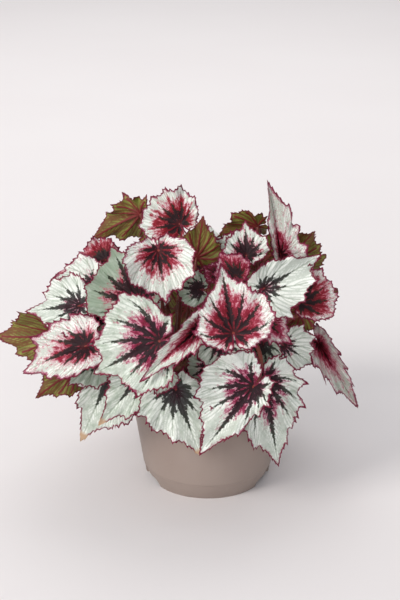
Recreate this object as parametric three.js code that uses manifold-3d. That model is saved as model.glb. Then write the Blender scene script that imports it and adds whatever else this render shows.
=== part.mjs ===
// A rex begonia in a plastic pot: silver leaves with dark veins on reddish stalks.
// Millimetres, +Z up. The plant is described round the pot's axis, with the pot's foot at z = 0
// and its front towards -Y. At the end it is moved so that the middle of its outline is at x = y = 0.
import * as THREE from "three";
import { mergeVertices } from "three/addons/utils/BufferGeometryUtils.js";
import Module from "manifold-3d";

const wasm = await Module();
wasm.setup();

// Pot: a container of 17 cm rim diameter
const POT_HEIGHT = 131;
const POT_SEGMENTS = 48;
const RIM_RADIUS = 85;
const RIM_BAND = 8;
const WALL = 2;
const WALL_TAPER = Math.tan(THREE.MathUtils.degToRad(9));
const WALL_FOOT_RADIUS = 62;
const FOOT_RADIUS = 57.5;
const FOOT_BAND = 17;
const FLOOR_UNDERSIDE = 12;
const FLOOR_RADIUS = 58;
const ARCH_WIDTH = 35;
const ARCH_HEIGHT = 8.5;
const ARCH_ANGLES = [343, 197, 45, 135];
const SIDE_FOOT_WIDTH = 28;
const SIDE_FOOT_MIDDLE = 16;

// Potting soil and the gap left between neighbouring pieces
const SOIL_LEVEL = 117;
const SOIL_MOUND = 3;
const SOIL_FLAT_RADIUS = 62;
const GAP = 0.3;

// Leaves
const BLADE = 0.8;
const BLADE_SPOKES = 16;
const BLADE_RINGS = 2;
const BLADE_SPREAD = THREE.MathUtils.degToRad(168);
const TIP_ANGLE = THREE.MathUtils.degToRad(15);
const WAVE_TURN = 2.4;
const STALK_SIDES = 6;
const STALK_STEP = 12;
const STALK_CLEARANCE = 0.35;
const STALK_ROOT = 9;
const CROWN = { width: 42, height: 16 };

// Where each crown lies on the soil
const CROWNS = [
  [-38, -20],
  [10, -36],
  [42, 2],
  [10, 38],
  [-34, 28],
];

// Face colours of the leaf kinds
const KINDS = {
  silver: 0xc9cfca,
  pink: 0xc98a94,
  red: 0x8c3340,
  dark: 0x4a4348,
  olive: 0x6f6f36,
};

// The leaves, from the front ones to the hidden ones at the back. hub: where the stalk meets the blade.
// face: the way the upper side looks, in degrees to the right of the front and above level. tip: the
// tip's direction in the blade's plane, clockwise from straight up. point lengthens the tip, broad widens
// the side lobes and skew widens the left half. fold and roll raise the left and the right half, in degrees and in turn
// per length; curl and back bend the tip and the base down; wave ripples the edge. stalk: its crown,
// its foot on it, how far it rises, how far it leans out, and how far and at which slant it comes in.
const LEAVES = [
  {
    hub: [-44, -128, 198], face: [-15, 25], tip: 240, length: 69, kind: "pink",
    point: 1, broad: 1, skew: -0.1, fold: [8, 10], roll: [0.3, 0.2], curl: 0.4, back: -0.3, wave: 0.02,
    stalk: { crown: 2, root: [3, -45], rise: 25, lean: 0.2, reach: 35, tilt: 20 },
  },
  {
    hub: [-8, -144, 218], face: [0, 15], tip: 227, length: 68, kind: "pink",
    point: 1, broad: -0.9, skew: -0.2, fold: [45, 52], roll: [0.4, 0.5], curl: 0.2, back: 0, wave: 0.05,
    stalk: { crown: 2, root: [18, -48], rise: 70, lean: 0.1, reach: 50, tilt: 12 },
  },
  {
    hub: [22, -158, 217], face: [5, 12], tip: 351, length: 58, kind: "red",
    point: 1, broad: 0.7, skew: -0.1, fold: [10, 10], roll: [0.1, 0.3], curl: 0.2, back: -0.4, wave: 0.02,
    stalk: { crown: 2, root: [-6, -39], rise: 95, lean: 0.3, reach: 85, tilt: 10 },
  },
  {
    hub: [-27, -8, 269], face: [-5, 25], tip: 312, length: 52, kind: "red",
    point: 0.3, broad: 0.7, skew: 0.1, fold: [12, 12], roll: [0.3, 0.3], curl: -0.2, back: -0.3, wave: 0.07,
    stalk: { crown: 1, root: [-30, -16], rise: 80, lean: 0.4, reach: 15, tilt: 50 },
  },
  {
    hub: [-46, -72, 266], face: [0, 30], tip: 172, length: 48, kind: "silver",
    point: 1, broad: 1.6, skew: 0, fold: [15, 15], roll: [0.6, 0.5], curl: 0.1, back: -0.4, wave: 0.06,
    stalk: { crown: 1, root: [-42, -29], rise: 85, lean: 0.2, reach: 15, tilt: 0 },
  },
  {
    hub: [-65, 14, 273], face: [165, 25], tip: 121, length: 58, kind: "olive",
    point: 1, broad: -0.1, skew: -0.25, fold: [5, 5], roll: [0.2, 0.2], curl: 0.3, back: -0.2, wave: 0.03,
    stalk: { crown: 5, root: [-34, 32], rise: 100, lean: 0.4, reach: 5, tilt: 45 },
  },
  {
    hub: [-65, -73, 216], face: [-8, 20], tip: 330, length: 56, kind: "dark",
    point: 0.9, broad: 1.5, skew: 0.05, fold: [10, 10], roll: [0.2, 0.2], curl: -0.2, back: 0, wave: 0.05,
    stalk: { crown: 1, root: [-42, -32], rise: 30, lean: 0.3, reach: 35, tilt: 40 },
  },
  {
    hub: [-99, 6, 228], face: [-10, 50], tip: 249, length: 52, kind: "red",
    point: 1, broad: -0.3, skew: 0, fold: [30, 10], roll: [0.6, 0.6], curl: 0.5, back: 0, wave: 0.06,
    stalk: { crown: 5, root: [-50, 28], rise: 50, lean: 0.4, reach: 25, tilt: 30 },
  },
  {
    hub: [-109, -27, 216], face: [-25, 45], tip: 241, length: 57, kind: "silver",
    point: 1, broad: 0.4, skew: 0, fold: [5, 5], roll: [0.2, 0.2], curl: 0.3, back: 0, wave: 0.04,
    stalk: { crown: 1, root: [-44, -16], rise: 40, lean: 0.5, reach: 95, tilt: 0 },
  },
  {
    hub: [-121, -61, 206], face: [-20, 35], tip: 259, length: 54, kind: "silver",
    point: 1, broad: 0.4, skew: 0, fold: [8, 8], roll: [0.2, 0.2], curl: 0.3, back: 0, wave: 0.03,
    stalk: { crown: 1, root: [-31, -28], rise: 30, lean: 0.3, reach: 30, tilt: 50 },
  },
  {
    hub: [-147, -9, 157], face: [-165, 5], tip: 96, length: 58, kind: "olive",
    point: 1, broad: 0.7, skew: 0.1, fold: [-10, -10], roll: [-0.4, -0.3], curl: -0.6, back: 0, wave: 0.03,
    stalk: { crown: 5, root: [-44, 28], rise: 20, lean: 0.5, reach: 30, tilt: 45 },
  },
  {
    hub: [-113, -91, 178], face: [-25, 35], tip: 244, length: 75, kind: "pink",
    point: 1, broad: -0.35, skew: 0, fold: [14, 14], roll: [0.4, 0.4], curl: 0.4, back: 0, wave: 0.07,
    stalk: { crown: 1, root: [-49, -26], rise: 15, lean: 0.4, reach: 60, tilt: 20 },
  },
  {
    hub: [-130, -38, 130], face: [-175, -10], tip: 123, length: 43, kind: "olive",
    point: 1, broad: 0.1, skew: 0, fold: [5, 5], roll: [0.1, 0.1], curl: 0.2, back: 0, wave: 0.03,
    stalk: { crown: 1, root: [-41, -31], rise: 30, lean: 0.2, reach: 20, tilt: 25 },
  },
  {
    hub: [-104, -70, 156], face: [-10, 25], tip: 226, length: 38, kind: "silver",
    point: 1, broad: 0.8, skew: 0, fold: [5, 5], roll: [0.2, 0.2], curl: 0.3, back: 0, wave: 0.03,
    stalk: { crown: 1, root: [-43, -22], rise: 30, lean: 0.3, reach: 25, tilt: 50 },
  },
  {
    hub: [-92, -60, 137], face: [-12, 8], tip: 204, length: 76, kind: "silver",
    point: 1, broad: -0.2, skew: 0.3, fold: [10, 10], roll: [0.1, 0.1], curl: 0.2, back: 0, wave: 0.02,
    stalk: { crown: 1, root: [-48, -9], rise: 15, lean: 0, reach: 40, tilt: 10 },
  },
  {
    hub: [-63, -94, 148], face: [-5, 12], tip: 219, length: 57, kind: "silver",
    point: 1, broad: -0.1, skew: 0.1, fold: [10, 10], roll: [0.1, 0.1], curl: 0.2, back: 0, wave: 0.02,
    stalk: { crown: 1, root: [-49, -26], rise: 15, lean: 0.3, reach: 25, tilt: 25 },
  },
  {
    hub: [-42, -107, 158], face: [0, 15], tip: 193, length: 24, kind: "silver",
    point: 1, broad: 0.9, skew: 0, fold: [5, 5], roll: [0.1, 0.2], curl: 0.3, back: 0, wave: 0.02,
    stalk: { crown: 1, root: [-46, -23], rise: 20, lean: 0.4, reach: 20, tilt: 0 },
  },
  {
    hub: [-30, -103, 139], face: [-3, 8], tip: 161, length: 66, kind: "silver",
    point: 1, broad: 0, skew: -0.2, fold: [10, 10], roll: [0.1, 0.2], curl: 0.1, back: 0, wave: 0.02,
    stalk: { crown: 2, root: [0, -42], rise: 15, lean: 0.3, reach: 15, tilt: 30 },
  },
  {
    hub: [42, -119, 149], face: [-8, 8], tip: 215, length: 78, kind: "silver",
    point: 1, broad: -0.35, skew: -0.45, fold: [10, 10], roll: [0.1, 0.1], curl: 0.1, back: -0.3, wave: 0.02,
    stalk: { crown: 2, root: [5, -39], rise: 95, lean: 0.1, reach: 45, tilt: 65 },
  },
  {
    hub: [52, -89, 142], face: [12, 5], tip: 170, length: 89, kind: "silver",
    point: 1, broad: -0.35, skew: -0.15, fold: [12, 12], roll: [0.1, 0.2], curl: 0.1, back: 0, wave: 0.02,
    stalk: { crown: 2, root: [25, -42], rise: 10, lean: 0.4, reach: 15, tilt: 5 },
  },
  {
    hub: [72, -59, 165], face: [25, 10], tip: 128, length: 38, kind: "silver",
    point: 1, broad: 1, skew: 0, fold: [10, 10], roll: [0.1, 0.2], curl: 0.2, back: 0, wave: 0.05,
    stalk: { crown: 3, root: [46, -8], rise: 25, lean: 0.5, reach: 10, tilt: 0 },
  },
  {
    hub: [54, -84, 199], face: [20, 20], tip: 137, length: 32, kind: "pink",
    point: 1, broad: 0.3, skew: 0, fold: [20, 20], roll: [0.1, 0.2], curl: 0.2, back: 0, wave: 0.04,
    stalk: { crown: 2, root: [15, -43], rise: 45, lean: 0.2, reach: 15, tilt: 5 },
  },
  {
    hub: [52, -73, 172], face: [0, 5], tip: 196, length: 29, kind: "dark",
    point: 1, broad: 0.9, skew: 0, fold: [5, 5], roll: [0.1, 0.2], curl: 0.2, back: 0, wave: 0.02,
    stalk: { crown: 2, root: [24, -37], rise: 30, lean: 0.5, reach: 15, tilt: 20 },
  },
  {
    hub: [86, -62, 210], face: [15, 12], tip: 40, length: 45, kind: "red",
    point: 0.5, broad: 1.3, skew: 0, fold: [10, 10], roll: [0.3, 0.3], curl: 0.2, back: -0.5, wave: 0.06,
    stalk: { crown: 2, root: [-4, -43], rise: 100, lean: 0.2, reach: 15, tilt: 45 },
  },
  {
    hub: [51, -79, 230], face: [10, 22], tip: 64, length: 62, kind: "silver",
    point: 1, broad: -0.2, skew: -0.2, fold: [22, 12], roll: [0.5, 0.3], curl: 0.2, back: 0, wave: 0.05,
    stalk: { crown: 2, root: [25, -39], rise: 70, lean: 0.4, reach: 5, tilt: 15 },
  },
  {
    hub: [76, 12, 222], face: [175, 10], tip: 325, length: 46, kind: "olive",
    point: 1, broad: 1.2, skew: 0, fold: [5, 5], roll: [0.1, 0.1], curl: 0.2, back: 0, wave: 0.05,
    stalk: { crown: 3, root: [29, 11], rise: 90, lean: 0.3, reach: 5, tilt: 45 },
  },
  {
    hub: [70, -8, 238], face: [12, 10], tip: 352, length: 84, kind: "silver",
    point: 0.5, broad: -1.2, skew: -0.35, fold: [52, 50], roll: [0.2, 0.2], curl: 0.2, back: 0, wave: 0.07,
    stalk: { crown: 3, root: [28, 0], rise: 105, lean: 0.2, reach: 30, tilt: 0 },
  },
  {
    hub: [36, -48, 251], face: [0, 20], tip: 358, length: 31, kind: "dark",
    point: 1, broad: 1.2, skew: 0, fold: [10, 10], roll: [0.3, 0.3], curl: 0.1, back: -0.4, wave: 0.05,
    stalk: { crown: 2, root: [19, -41], rise: 45, lean: 0.5, reach: 30, tilt: 50 },
  },
  {
    hub: [48, 6, 263], face: [178, 40], tip: 108, length: 40, kind: "olive",
    point: 1, broad: 0.6, skew: 0, fold: [5, 5], roll: [0.3, 0.3], curl: 0.3, back: 0, wave: 0.03,
    stalk: { crown: 3, root: [48, 0], rise: 85, lean: 0.4, reach: 5, tilt: 5 },
  },
  {
    hub: [29, -15, 247], face: [-10, 30], tip: 286, length: 24, kind: "silver",
    point: 1, broad: 0.7, skew: 0, fold: [5, 5], roll: [0.2, 0.2], curl: 0.3, back: 0, wave: 0.03,
    stalk: { crown: 3, root: [39, 0], rise: 70, lean: 0.4, reach: 15, tilt: 35 },
  },
  {
    hub: [-11, -19, 240], face: [178, 10], tip: 351, length: 40, kind: "olive",
    point: 1, broad: 0.5, skew: 0, fold: [-10, -10], roll: [0.2, 0.2], curl: -0.2, back: 0, wave: 0.03,
    stalk: { crown: 2, root: [-7, -37], rise: 35, lean: 0.4, reach: 40, tilt: 50 },
  },
  {
    hub: [-11, -15, 224], face: [0, 22], tip: 282, length: 32, kind: "dark",
    point: 1, broad: 1.2, skew: 0, fold: [10, 10], roll: [0.2, 0.2], curl: 0.2, back: -0.4, wave: 0.03,
    stalk: { crown: 1, root: [-24, -16], rise: 65, lean: 0.2, reach: 5, tilt: 10 },
  },
  {
    hub: [26, -64, 236], face: [-5, 22], tip: 324, length: 28, kind: "red",
    point: 1, broad: 0.9, skew: 0, fold: [10, 10], roll: [0.2, 0.2], curl: 0.2, back: -0.3, wave: 0.05,
    stalk: { crown: 2, root: [14, -41], rise: 55, lean: 0.4, reach: 20, tilt: 45 },
  },
  {
    hub: [9, -50, 233], face: [0, 20], tip: 301, length: 16, kind: "pink",
    point: 1, broad: 0.9, skew: 0, fold: [10, 10], roll: [0.2, 0.2], curl: 0.2, back: 0, wave: 0.03,
    stalk: { crown: 2, root: [13, -40], rise: 65, lean: 0.1, reach: 10, tilt: 45 },
  },
  {
    hub: [-7, -50, 218], face: [0, 20], tip: 276, length: 28, kind: "dark",
    point: 1, broad: 0.9, skew: 0, fold: [10, 10], roll: [0.2, 0.2], curl: 0.2, back: 0, wave: 0.03,
    stalk: { crown: 2, root: [-4, -40], rise: 60, lean: 0.5, reach: 5, tilt: 45 },
  },
  {
    hub: [108, -20, 151], face: [5, 5], tip: 150, length: 84, kind: "pink",
    point: 1, broad: -1, skew: 0, fold: [58, 56], roll: [0.5, 0.6], curl: 0.35, back: -0.3, wave: 0.09,
    stalk: { crown: 3, root: [55, 1], rise: 15, lean: 0.5, reach: 15, tilt: 0 },
  },
  {
    hub: [4, -88, 156], face: [-5, 10], tip: 241, length: 30, kind: "dark",
    point: 1, broad: 1.1, skew: 0, fold: [8, 8], roll: [0.2, 0.2], curl: 0.2, back: 0, wave: 0.03,
    stalk: { crown: 2, root: [5, -45], rise: 10, lean: 0.5, reach: 5, tilt: 20 },
  },
  {
    hub: [35, -64, 162], face: [5, 5], tip: 241, length: 35, kind: "dark",
    point: 1, broad: 0.9, skew: 0, fold: [8, 8], roll: [0.2, 0.2], curl: 0.2, back: 0, wave: 0.03,
    stalk: { crown: 2, root: [18, -48], rise: 30, lean: 0.4, reach: 5, tilt: 25 },
  },
  {
    hub: [-96, -39, 189], face: [-10, 20], tip: 263, length: 33, kind: "dark",
    point: 1, broad: 0.9, skew: 0, fold: [8, 8], roll: [0.2, 0.2], curl: 0.2, back: 0, wave: 0.03,
    stalk: { crown: 1, root: [-50, -22], rise: 20, lean: 0.5, reach: 5, tilt: 30 },
  },
  {
    hub: [-100, 52, 192], face: [-122, 38], tip: 165, length: 75, kind: "silver",
    point: 1, broad: 0.6, skew: 0.05, fold: [8, 8], roll: [0.2, 0.2], curl: 0.4, back: -0.2, wave: 0.03,
    stalk: { crown: 5, root: [-42, 35], rise: 30, lean: 0.3, reach: 30, tilt: 5 },
  },
  {
    hub: [-52, 97, 177], face: [-162, 25], tip: 190, length: 66, kind: "silver",
    point: 1, broad: 0.6, skew: 0.05, fold: [8, 8], roll: [0.2, 0.2], curl: 0.4, back: -0.2, wave: 0.03,
    stalk: { crown: 5, root: [-34, 31], rise: 25, lean: 0.5, reach: 15, tilt: 0 },
  },
  {
    hub: [2, 74, 201], face: [175, 35], tip: 175, length: 76, kind: "silver",
    point: 1, broad: 0.6, skew: 0.05, fold: [8, 8], roll: [0.2, 0.2], curl: 0.4, back: -0.2, wave: 0.03,
    stalk: { crown: 4, root: [2, 49], rise: 50, lean: 0.4, reach: 5, tilt: 25 },
  },
  {
    hub: [55, 89, 187], face: [150, 30], tip: 190, length: 76, kind: "silver",
    point: 1, broad: 0.6, skew: 0.05, fold: [8, 8], roll: [0.2, 0.2], curl: 0.4, back: -0.2, wave: 0.03,
    stalk: { crown: 4, root: [25, 43], rise: 20, lean: 0.1, reach: 10, tilt: 0 },
  },
  {
    hub: [84, 28, 196], face: [120, 60], tip: 170, length: 68, kind: "silver",
    point: 1, broad: 0.6, skew: 0.05, fold: [8, 8], roll: [0.2, 0.2], curl: 0.4, back: -0.2, wave: 0.03,
    stalk: { crown: 3, root: [47, 8], rise: 20, lean: 0.4, reach: 25, tilt: 0 },
  },
  {
    hub: [-86, 120, 131], face: [-140, 12], tip: 185, length: 66, kind: "silver",
    point: 1, broad: 0.4, skew: 0.05, fold: [8, 8], roll: [0.2, 0.2], curl: 0.3, back: -0.2, wave: 0.03,
    stalk: { crown: 5, root: [-34, 33], rise: 20, lean: 0.3, reach: 40, tilt: 25 },
  },
  {
    hub: [-20, 130, 131], face: [-175, 10], tip: 175, length: 70, kind: "silver",
    point: 1, broad: 0.4, skew: 0.05, fold: [8, 8], roll: [0.2, 0.2], curl: 0.3, back: -0.2, wave: 0.03,
    stalk: { crown: 4, root: [6, 41], rise: 15, lean: 0.5, reach: 15, tilt: 40 },
  },
  {
    hub: [45, 124, 127], face: [160, 10], tip: 185, length: 66, kind: "silver",
    point: 1, broad: 0.4, skew: 0.05, fold: [8, 8], roll: [0.2, 0.2], curl: 0.3, back: -0.2, wave: 0.03,
    stalk: { crown: 4, root: [17, 45], rise: 20, lean: 0.4, reach: 30, tilt: 15 },
  },
  {
    hub: [-28, 32, 232], face: [-170, 65], tip: 180, length: 58, kind: "silver",
    point: 1, broad: 0.8, skew: 0.05, fold: [8, 8], roll: [0.2, 0.2], curl: 0.4, back: -0.2, wave: 0.03,
    stalk: { crown: 5, root: [-32, 18], rise: 40, lean: 0.2, reach: 30, tilt: 0 },
  },
  {
    hub: [32, 30, 236], face: [160, 65], tip: 180, length: 58, kind: "silver",
    point: 1, broad: 0.8, skew: 0.05, fold: [8, 8], roll: [0.2, 0.2], curl: 0.4, back: -0.2, wave: 0.03,
    stalk: { crown: 3, root: [36, 2], rise: 40, lean: 0.1, reach: 35, tilt: 10 },
  },
  {
    hub: [-62, -8, 200], face: [-20, 60], tip: 185, length: 48, kind: "silver",
    point: 1, broad: 0.7, skew: 0.1, fold: [6, 10], roll: [0.2, 0.2], curl: 0.5, back: -0.2, wave: 0.04,
    stalk: { crown: 1, root: [-54, -18], rise: 40, lean: 0.3, reach: 5, tilt: 0 },
  },
  {
    hub: [62, -7, 204], face: [28, 64], tip: 165, length: 46, kind: "silver",
    point: 1, broad: 0.6, skew: -0.05, fold: [8, 6], roll: [0.2, 0.2], curl: 0.4, back: -0.2, wave: 0.04,
    stalk: { crown: 3, root: [53, 8], rise: 30, lean: 0.5, reach: 25, tilt: 0 },
  },
  {
    hub: [12, -79, 177], face: [10, 55], tip: 190, length: 46, kind: "dark",
    point: 1, broad: 0.6, skew: 0.1, fold: [10, 10], roll: [0.3, 0.2], curl: 0.3, back: -0.2, wave: 0.04,
    stalk: { crown: 2, root: [10, -47], rise: 25, lean: 0.1, reach: 20, tilt: 50 },
  },
  {
    hub: [88, -48, 193], face: [165, 5], tip: 140, length: 34, kind: "olive",
    point: 1, broad: 0.4, skew: 0, fold: [10, 10], roll: [0.3, 0.3], curl: 0.3, back: -0.3, wave: 0.05,
    stalk: { crown: 2, root: [22, -31], rise: 50, lean: 0.5, reach: 10, tilt: 30 },
  },
];

const deg = THREE.MathUtils.degToRad;

/* Solids */

function toSolid(geometry) {
  const bare = geometry.clone();
  bare.deleteAttribute("normal");
  bare.deleteAttribute("uv");
  const merged = mergeVertices(bare, 1e-4);
  return new wasm.Manifold(new wasm.Mesh({
    numProp: 3,
    vertProperties: merged.attributes.position.array,
    triVerts: new Uint32Array(merged.index.array),
  }));
}

function toGeometry(solid) {
  const mesh = solid.getMesh();
  const geometry = new THREE.BufferGeometry();
  geometry.setAttribute("position", new THREE.BufferAttribute(mesh.vertProperties, 3));
  geometry.setIndex(new THREE.BufferAttribute(mesh.triVerts, 1));
  geometry.computeVertexNormals();
  return geometry;
}

// A profile of [radius, height] points turned about +Z
function turned(profile, segments) {
  const geometry = new THREE.LatheGeometry(profile.map(([r, z]) => new THREE.Vector2(r, z)), segments);
  return geometry.rotateX(Math.PI / 2);
}

/* Pot */

function wallRadius(z) {
  return WALL_FOOT_RADIUS + z * WALL_TAPER;
}

// Arch-shaped opening through the foot, from the axis outwards along +X
function archCutter(angle) {
  const half = ARCH_WIDTH / 2;
  const outline = new THREE.Shape();
  outline.moveTo(-half, -1);
  outline.lineTo(half, -1);
  outline.lineTo(half, ARCH_HEIGHT - 4);
  outline.quadraticCurveTo(half, ARCH_HEIGHT, half - 4, ARCH_HEIGHT);
  outline.lineTo(-half + 4, ARCH_HEIGHT);
  outline.quadraticCurveTo(-half, ARCH_HEIGHT, -half, ARCH_HEIGHT - 4);
  outline.closePath();
  const geometry = new THREE.ExtrudeGeometry(outline, { depth: 30, bevelEnabled: false, curveSegments: 3 });
  geometry.rotateX(Math.PI / 2);
  geometry.rotateZ(Math.PI / 2);
  geometry.translate(45, 0, 0);
  return geometry.rotateZ(deg(angle));
}

function potGeometry() {
  const bandBottom = POT_HEIGHT - RIM_BAND;
  const body = toSolid(turned([
    [0, FLOOR_UNDERSIDE],
    [FOOT_RADIUS - WALL + 1, FLOOR_UNDERSIDE],
    [FOOT_RADIUS - WALL, 0],
    [FOOT_RADIUS, 0],
    [wallRadius(FOOT_BAND) - 1, FOOT_BAND],
    [wallRadius(FOOT_BAND), FOOT_BAND + 0.5],
    [wallRadius(bandBottom), bandBottom],
    [RIM_RADIUS - 0.6, bandBottom + 1.5],
    [RIM_RADIUS, POT_HEIGHT - 1],
    [RIM_RADIUS - 1, POT_HEIGHT],
    [RIM_RADIUS - WALL - 1, POT_HEIGHT],
    [wallRadius(bandBottom) - WALL, bandBottom],
    [wallRadius(FOOT_BAND + 3) - WALL, FOOT_BAND + 3],
    [FLOOR_RADIUS, FLOOR_UNDERSIDE + WALL],
    [0, FLOOR_UNDERSIDE + WALL],
  ], POT_SEGMENTS));
  const ring = toSolid(turned([
    [wallRadius(0) - 3, 0],
    [wallRadius(0) - 0.8, 0],
    [wallRadius(2), 2],
    [wallRadius(FOOT_BAND + 2), FOOT_BAND + 2],
    [wallRadius(FOOT_BAND + 2) - 1, FOOT_BAND + 2],
    [wallRadius(FLOOR_UNDERSIDE) - WALL, FLOOR_UNDERSIDE],
    [wallRadius(0) - 3, FLOOR_UNDERSIDE],
    [wallRadius(0) - 3, 0],
  ], POT_SEGMENTS));
  const sides = toSolid(new THREE.BoxGeometry(4 * RIM_RADIUS, SIDE_FOOT_WIDTH, 2 * POT_HEIGHT))
    .translate(0, SIDE_FOOT_MIDDLE, 0);
  let pot = body.add(ring.intersect(sides));
  for (const angle of ARCH_ANGLES) {
    pot = pot.subtract(toSolid(archCutter(angle)));
  }
  return toGeometry(pot);
}

/* Soil */

function soilGeometry() {
  const floor = FLOOR_UNDERSIDE + WALL + GAP;
  const inside = (z) => wallRadius(z) - WALL - 2 * GAP;
  const shoulder = FOOT_BAND + 3 + 2 * GAP;
  return toGeometry(toSolid(turned([
    [0, floor],
    [FLOOR_RADIUS - 2 * GAP, floor],
    [inside(shoulder), shoulder],
    [inside(SOIL_LEVEL), SOIL_LEVEL],
    [SOIL_FLAT_RADIUS, SOIL_LEVEL + SOIL_MOUND],
    [0, SOIL_LEVEL + SOIL_MOUND],
  ], POT_SEGMENTS)));
}

/* Leaf blades */

// Reach of the flat blade from its hub, as a share of its length, at an angle from the tip
function outline(angle, leaf) {
  const a = Math.abs(angle);
  const heart = 0.18 + 0.38 * Math.cos(a / 2);
  const tip = 0.44 * leaf.point * Math.exp(-a / TIP_ANGLE);
  const lobes = 0.2 * leaf.broad * Math.sin(Math.min(1.5 * a, Math.PI));
  return (heart + tip + lobes) * (1 + leaf.skew * Math.sin(angle));
}

const notZero = (value) => (Math.abs(value) < 1e-6 ? 1e-6 : value);

// The flat point at an angle and a share of the way out, folded, rolled, waved and bent to its place
function bladePoint(angle, share, leaf, index) {
  const reach = share * outline(angle, leaf) * leaf.length;
  const side = angle >= 0 ? 0 : 1;
  const fold = deg(leaf.fold[side]);
  const roll = notZero(leaf.roll[side] / leaf.length);
  const across = Math.abs(reach * Math.sin(angle));
  const y = (Math.sin(fold + roll * across) - Math.sin(fold)) / roll;
  const wave = leaf.wave * leaf.length * share ** 2 * Math.sin(3 * angle + (index + 1) * WAVE_TURN);
  const z = (Math.cos(fold) - Math.cos(fold + roll * across)) / roll + wave;
  const along = reach * Math.cos(angle);
  const curl = notZero((along >= 0 ? leaf.curl : leaf.back) / leaf.length);
  const bend = curl * along;
  return new THREE.Vector3(
    Math.sin(bend) / curl + z * Math.sin(bend),
    side === 0 ? y : -y,
    -(1 - Math.cos(bend)) / curl + z * Math.cos(bend),
  );
}

// +X of the blade's own frame points to the tip and +Z out of its face
function bladeFrame(leaf) {
  const [azimuth, elevation] = leaf.face.map(deg);
  const tip = deg(leaf.tip);
  const face = new THREE.Vector3(
    Math.sin(azimuth) * Math.cos(elevation),
    -Math.cos(azimuth) * Math.cos(elevation),
    Math.sin(elevation),
  );
  const up = new THREE.Vector3(
    -Math.sin(azimuth) * Math.sin(elevation),
    Math.cos(azimuth) * Math.sin(elevation),
    Math.cos(elevation),
  );
  const right = new THREE.Vector3().crossVectors(up, face);
  const x = up.multiplyScalar(Math.cos(tip)).addScaledVector(right, Math.sin(tip));
  const y = new THREE.Vector3().crossVectors(face, x);
  return { x, y, z: face };
}

function bladeGeometry(leaf, index) {
  const points = [new THREE.Vector3()];
  for (let ring = 1; ring <= BLADE_RINGS; ring++) {
    for (let i = 0; i <= BLADE_SPOKES; i++) {
      const turn = (2 * i) / BLADE_SPOKES - 1;
      const angle = BLADE_SPREAD * Math.sign(turn) * Math.abs(turn) ** 1.2;
      points.push(bladePoint(angle, ring / BLADE_RINGS, leaf, index));
    }
  }
  const faces = [];
  const row = BLADE_SPOKES + 1;
  for (let i = 0; i < BLADE_SPOKES; i++) {
    faces.push([0, 1 + i, 2 + i]);
    for (let ring = 1; ring < BLADE_RINGS; ring++) {
      const inner = 1 + (ring - 1) * row + i;
      const outer = inner + row;
      faces.push([inner, outer, outer + 1], [inner, outer + 1, inner + 1]);
    }
  }
  const normals = points.map(() => new THREE.Vector3());
  for (const [a, b, c] of faces) {
    const ab = points[b].clone().sub(points[a]);
    const ac = points[c].clone().sub(points[a]);
    const normal = ab.cross(ac);
    [a, b, c].forEach((corner) => normals[corner].add(normal));
  }
  const under = points.map((point, i) => point.clone().addScaledVector(normals[i].normalize(), -BLADE));
  const count = points.length;
  const edge = [0];
  for (let ring = 1; ring <= BLADE_RINGS; ring++) edge.push(1 + (ring - 1) * row);
  for (let i = 1; i < row; i++) edge.push(1 + (BLADE_RINGS - 1) * row + i);
  for (let ring = BLADE_RINGS - 1; ring >= 1; ring--) edge.push(ring * row);
  const triangles = [];
  for (const [a, b, c] of faces) triangles.push(a, b, c, a + count, c + count, b + count);
  edge.forEach((a, i) => {
    const b = edge[(i + 1) % edge.length];
    triangles.push(a, a + count, b + count, a, b + count, b);
  });
  const geometry = new THREE.BufferGeometry().setFromPoints([...points, ...under]);
  geometry.setIndex(triangles);
  const { x, y, z } = bladeFrame(leaf);
  geometry.applyMatrix4(new THREE.Matrix4().makeBasis(x, y, z).setPosition(...leaf.hub));
  geometry.computeVertexNormals();
  return geometry;
}

/* Crowns and leaf stalks */

function stalkRadius(leaf) {
  return 1.3 + leaf.length / 90;
}

// From the crown upwards, leaning outwards, and then to the back of the blade at its hub
function stalkGeometry(leaf) {
  const { root, rise, lean, reach, tilt } = leaf.stalk;
  const { x, z } = bladeFrame(leaf);
  const radius = stalkRadius(leaf);
  const slant = deg(tilt);
  const away = z.multiplyScalar(-Math.cos(slant)).addScaledVector(x, -Math.sin(slant));
  const start = (BLADE + STALK_CLEARANCE + 0.87 * radius * Math.sin(slant)) / Math.cos(slant);
  const top = new THREE.Vector3(...leaf.hub).addScaledVector(away, start);
  const bottom = new THREE.Vector3(root[0], root[1], SOIL_LEVEL + STALK_ROOT);
  const lower = bottom.clone();
  lower.x += lean * (top.x - bottom.x);
  lower.y += lean * (top.y - bottom.y);
  lower.z += rise;
  const upper = top.clone().addScaledVector(away, reach);
  const section = new THREE.Shape();
  for (let i = 0; i < STALK_SIDES; i++) {
    const angle = (2 * Math.PI * i) / STALK_SIDES;
    const corner = [radius * Math.cos(angle), radius * Math.sin(angle)];
    if (i === 0) section.moveTo(...corner);
    else section.lineTo(...corner);
  }
  section.closePath();
  const path = new THREE.CubicBezierCurve3(bottom, lower, upper, top);
  return new THREE.ExtrudeGeometry(section, {
    steps: Math.ceil(path.getLength() / STALK_STEP),
    bevelEnabled: false,
    extrudePath: path,
  });
}

function crownGeometry(index) {
  const [x, y] = CROWNS[index];
  const ball = new THREE.SphereGeometry(0.5, 12, 8);
  ball.scale(CROWN.width, CROWN.width, CROWN.height);
  const soilTop = SOIL_LEVEL + SOIL_MOUND;
  ball.translate(x, y, soilTop + GAP + CROWN.height / 2);
  let solid = toSolid(ball);
  for (const leaf of LEAVES) {
    if (leaf.stalk.crown === index + 1) solid = solid.add(toSolid(stalkGeometry(leaf)));
  }
  return toGeometry(solid);
}

/* Assembly */

const plant = new THREE.Group();

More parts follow.
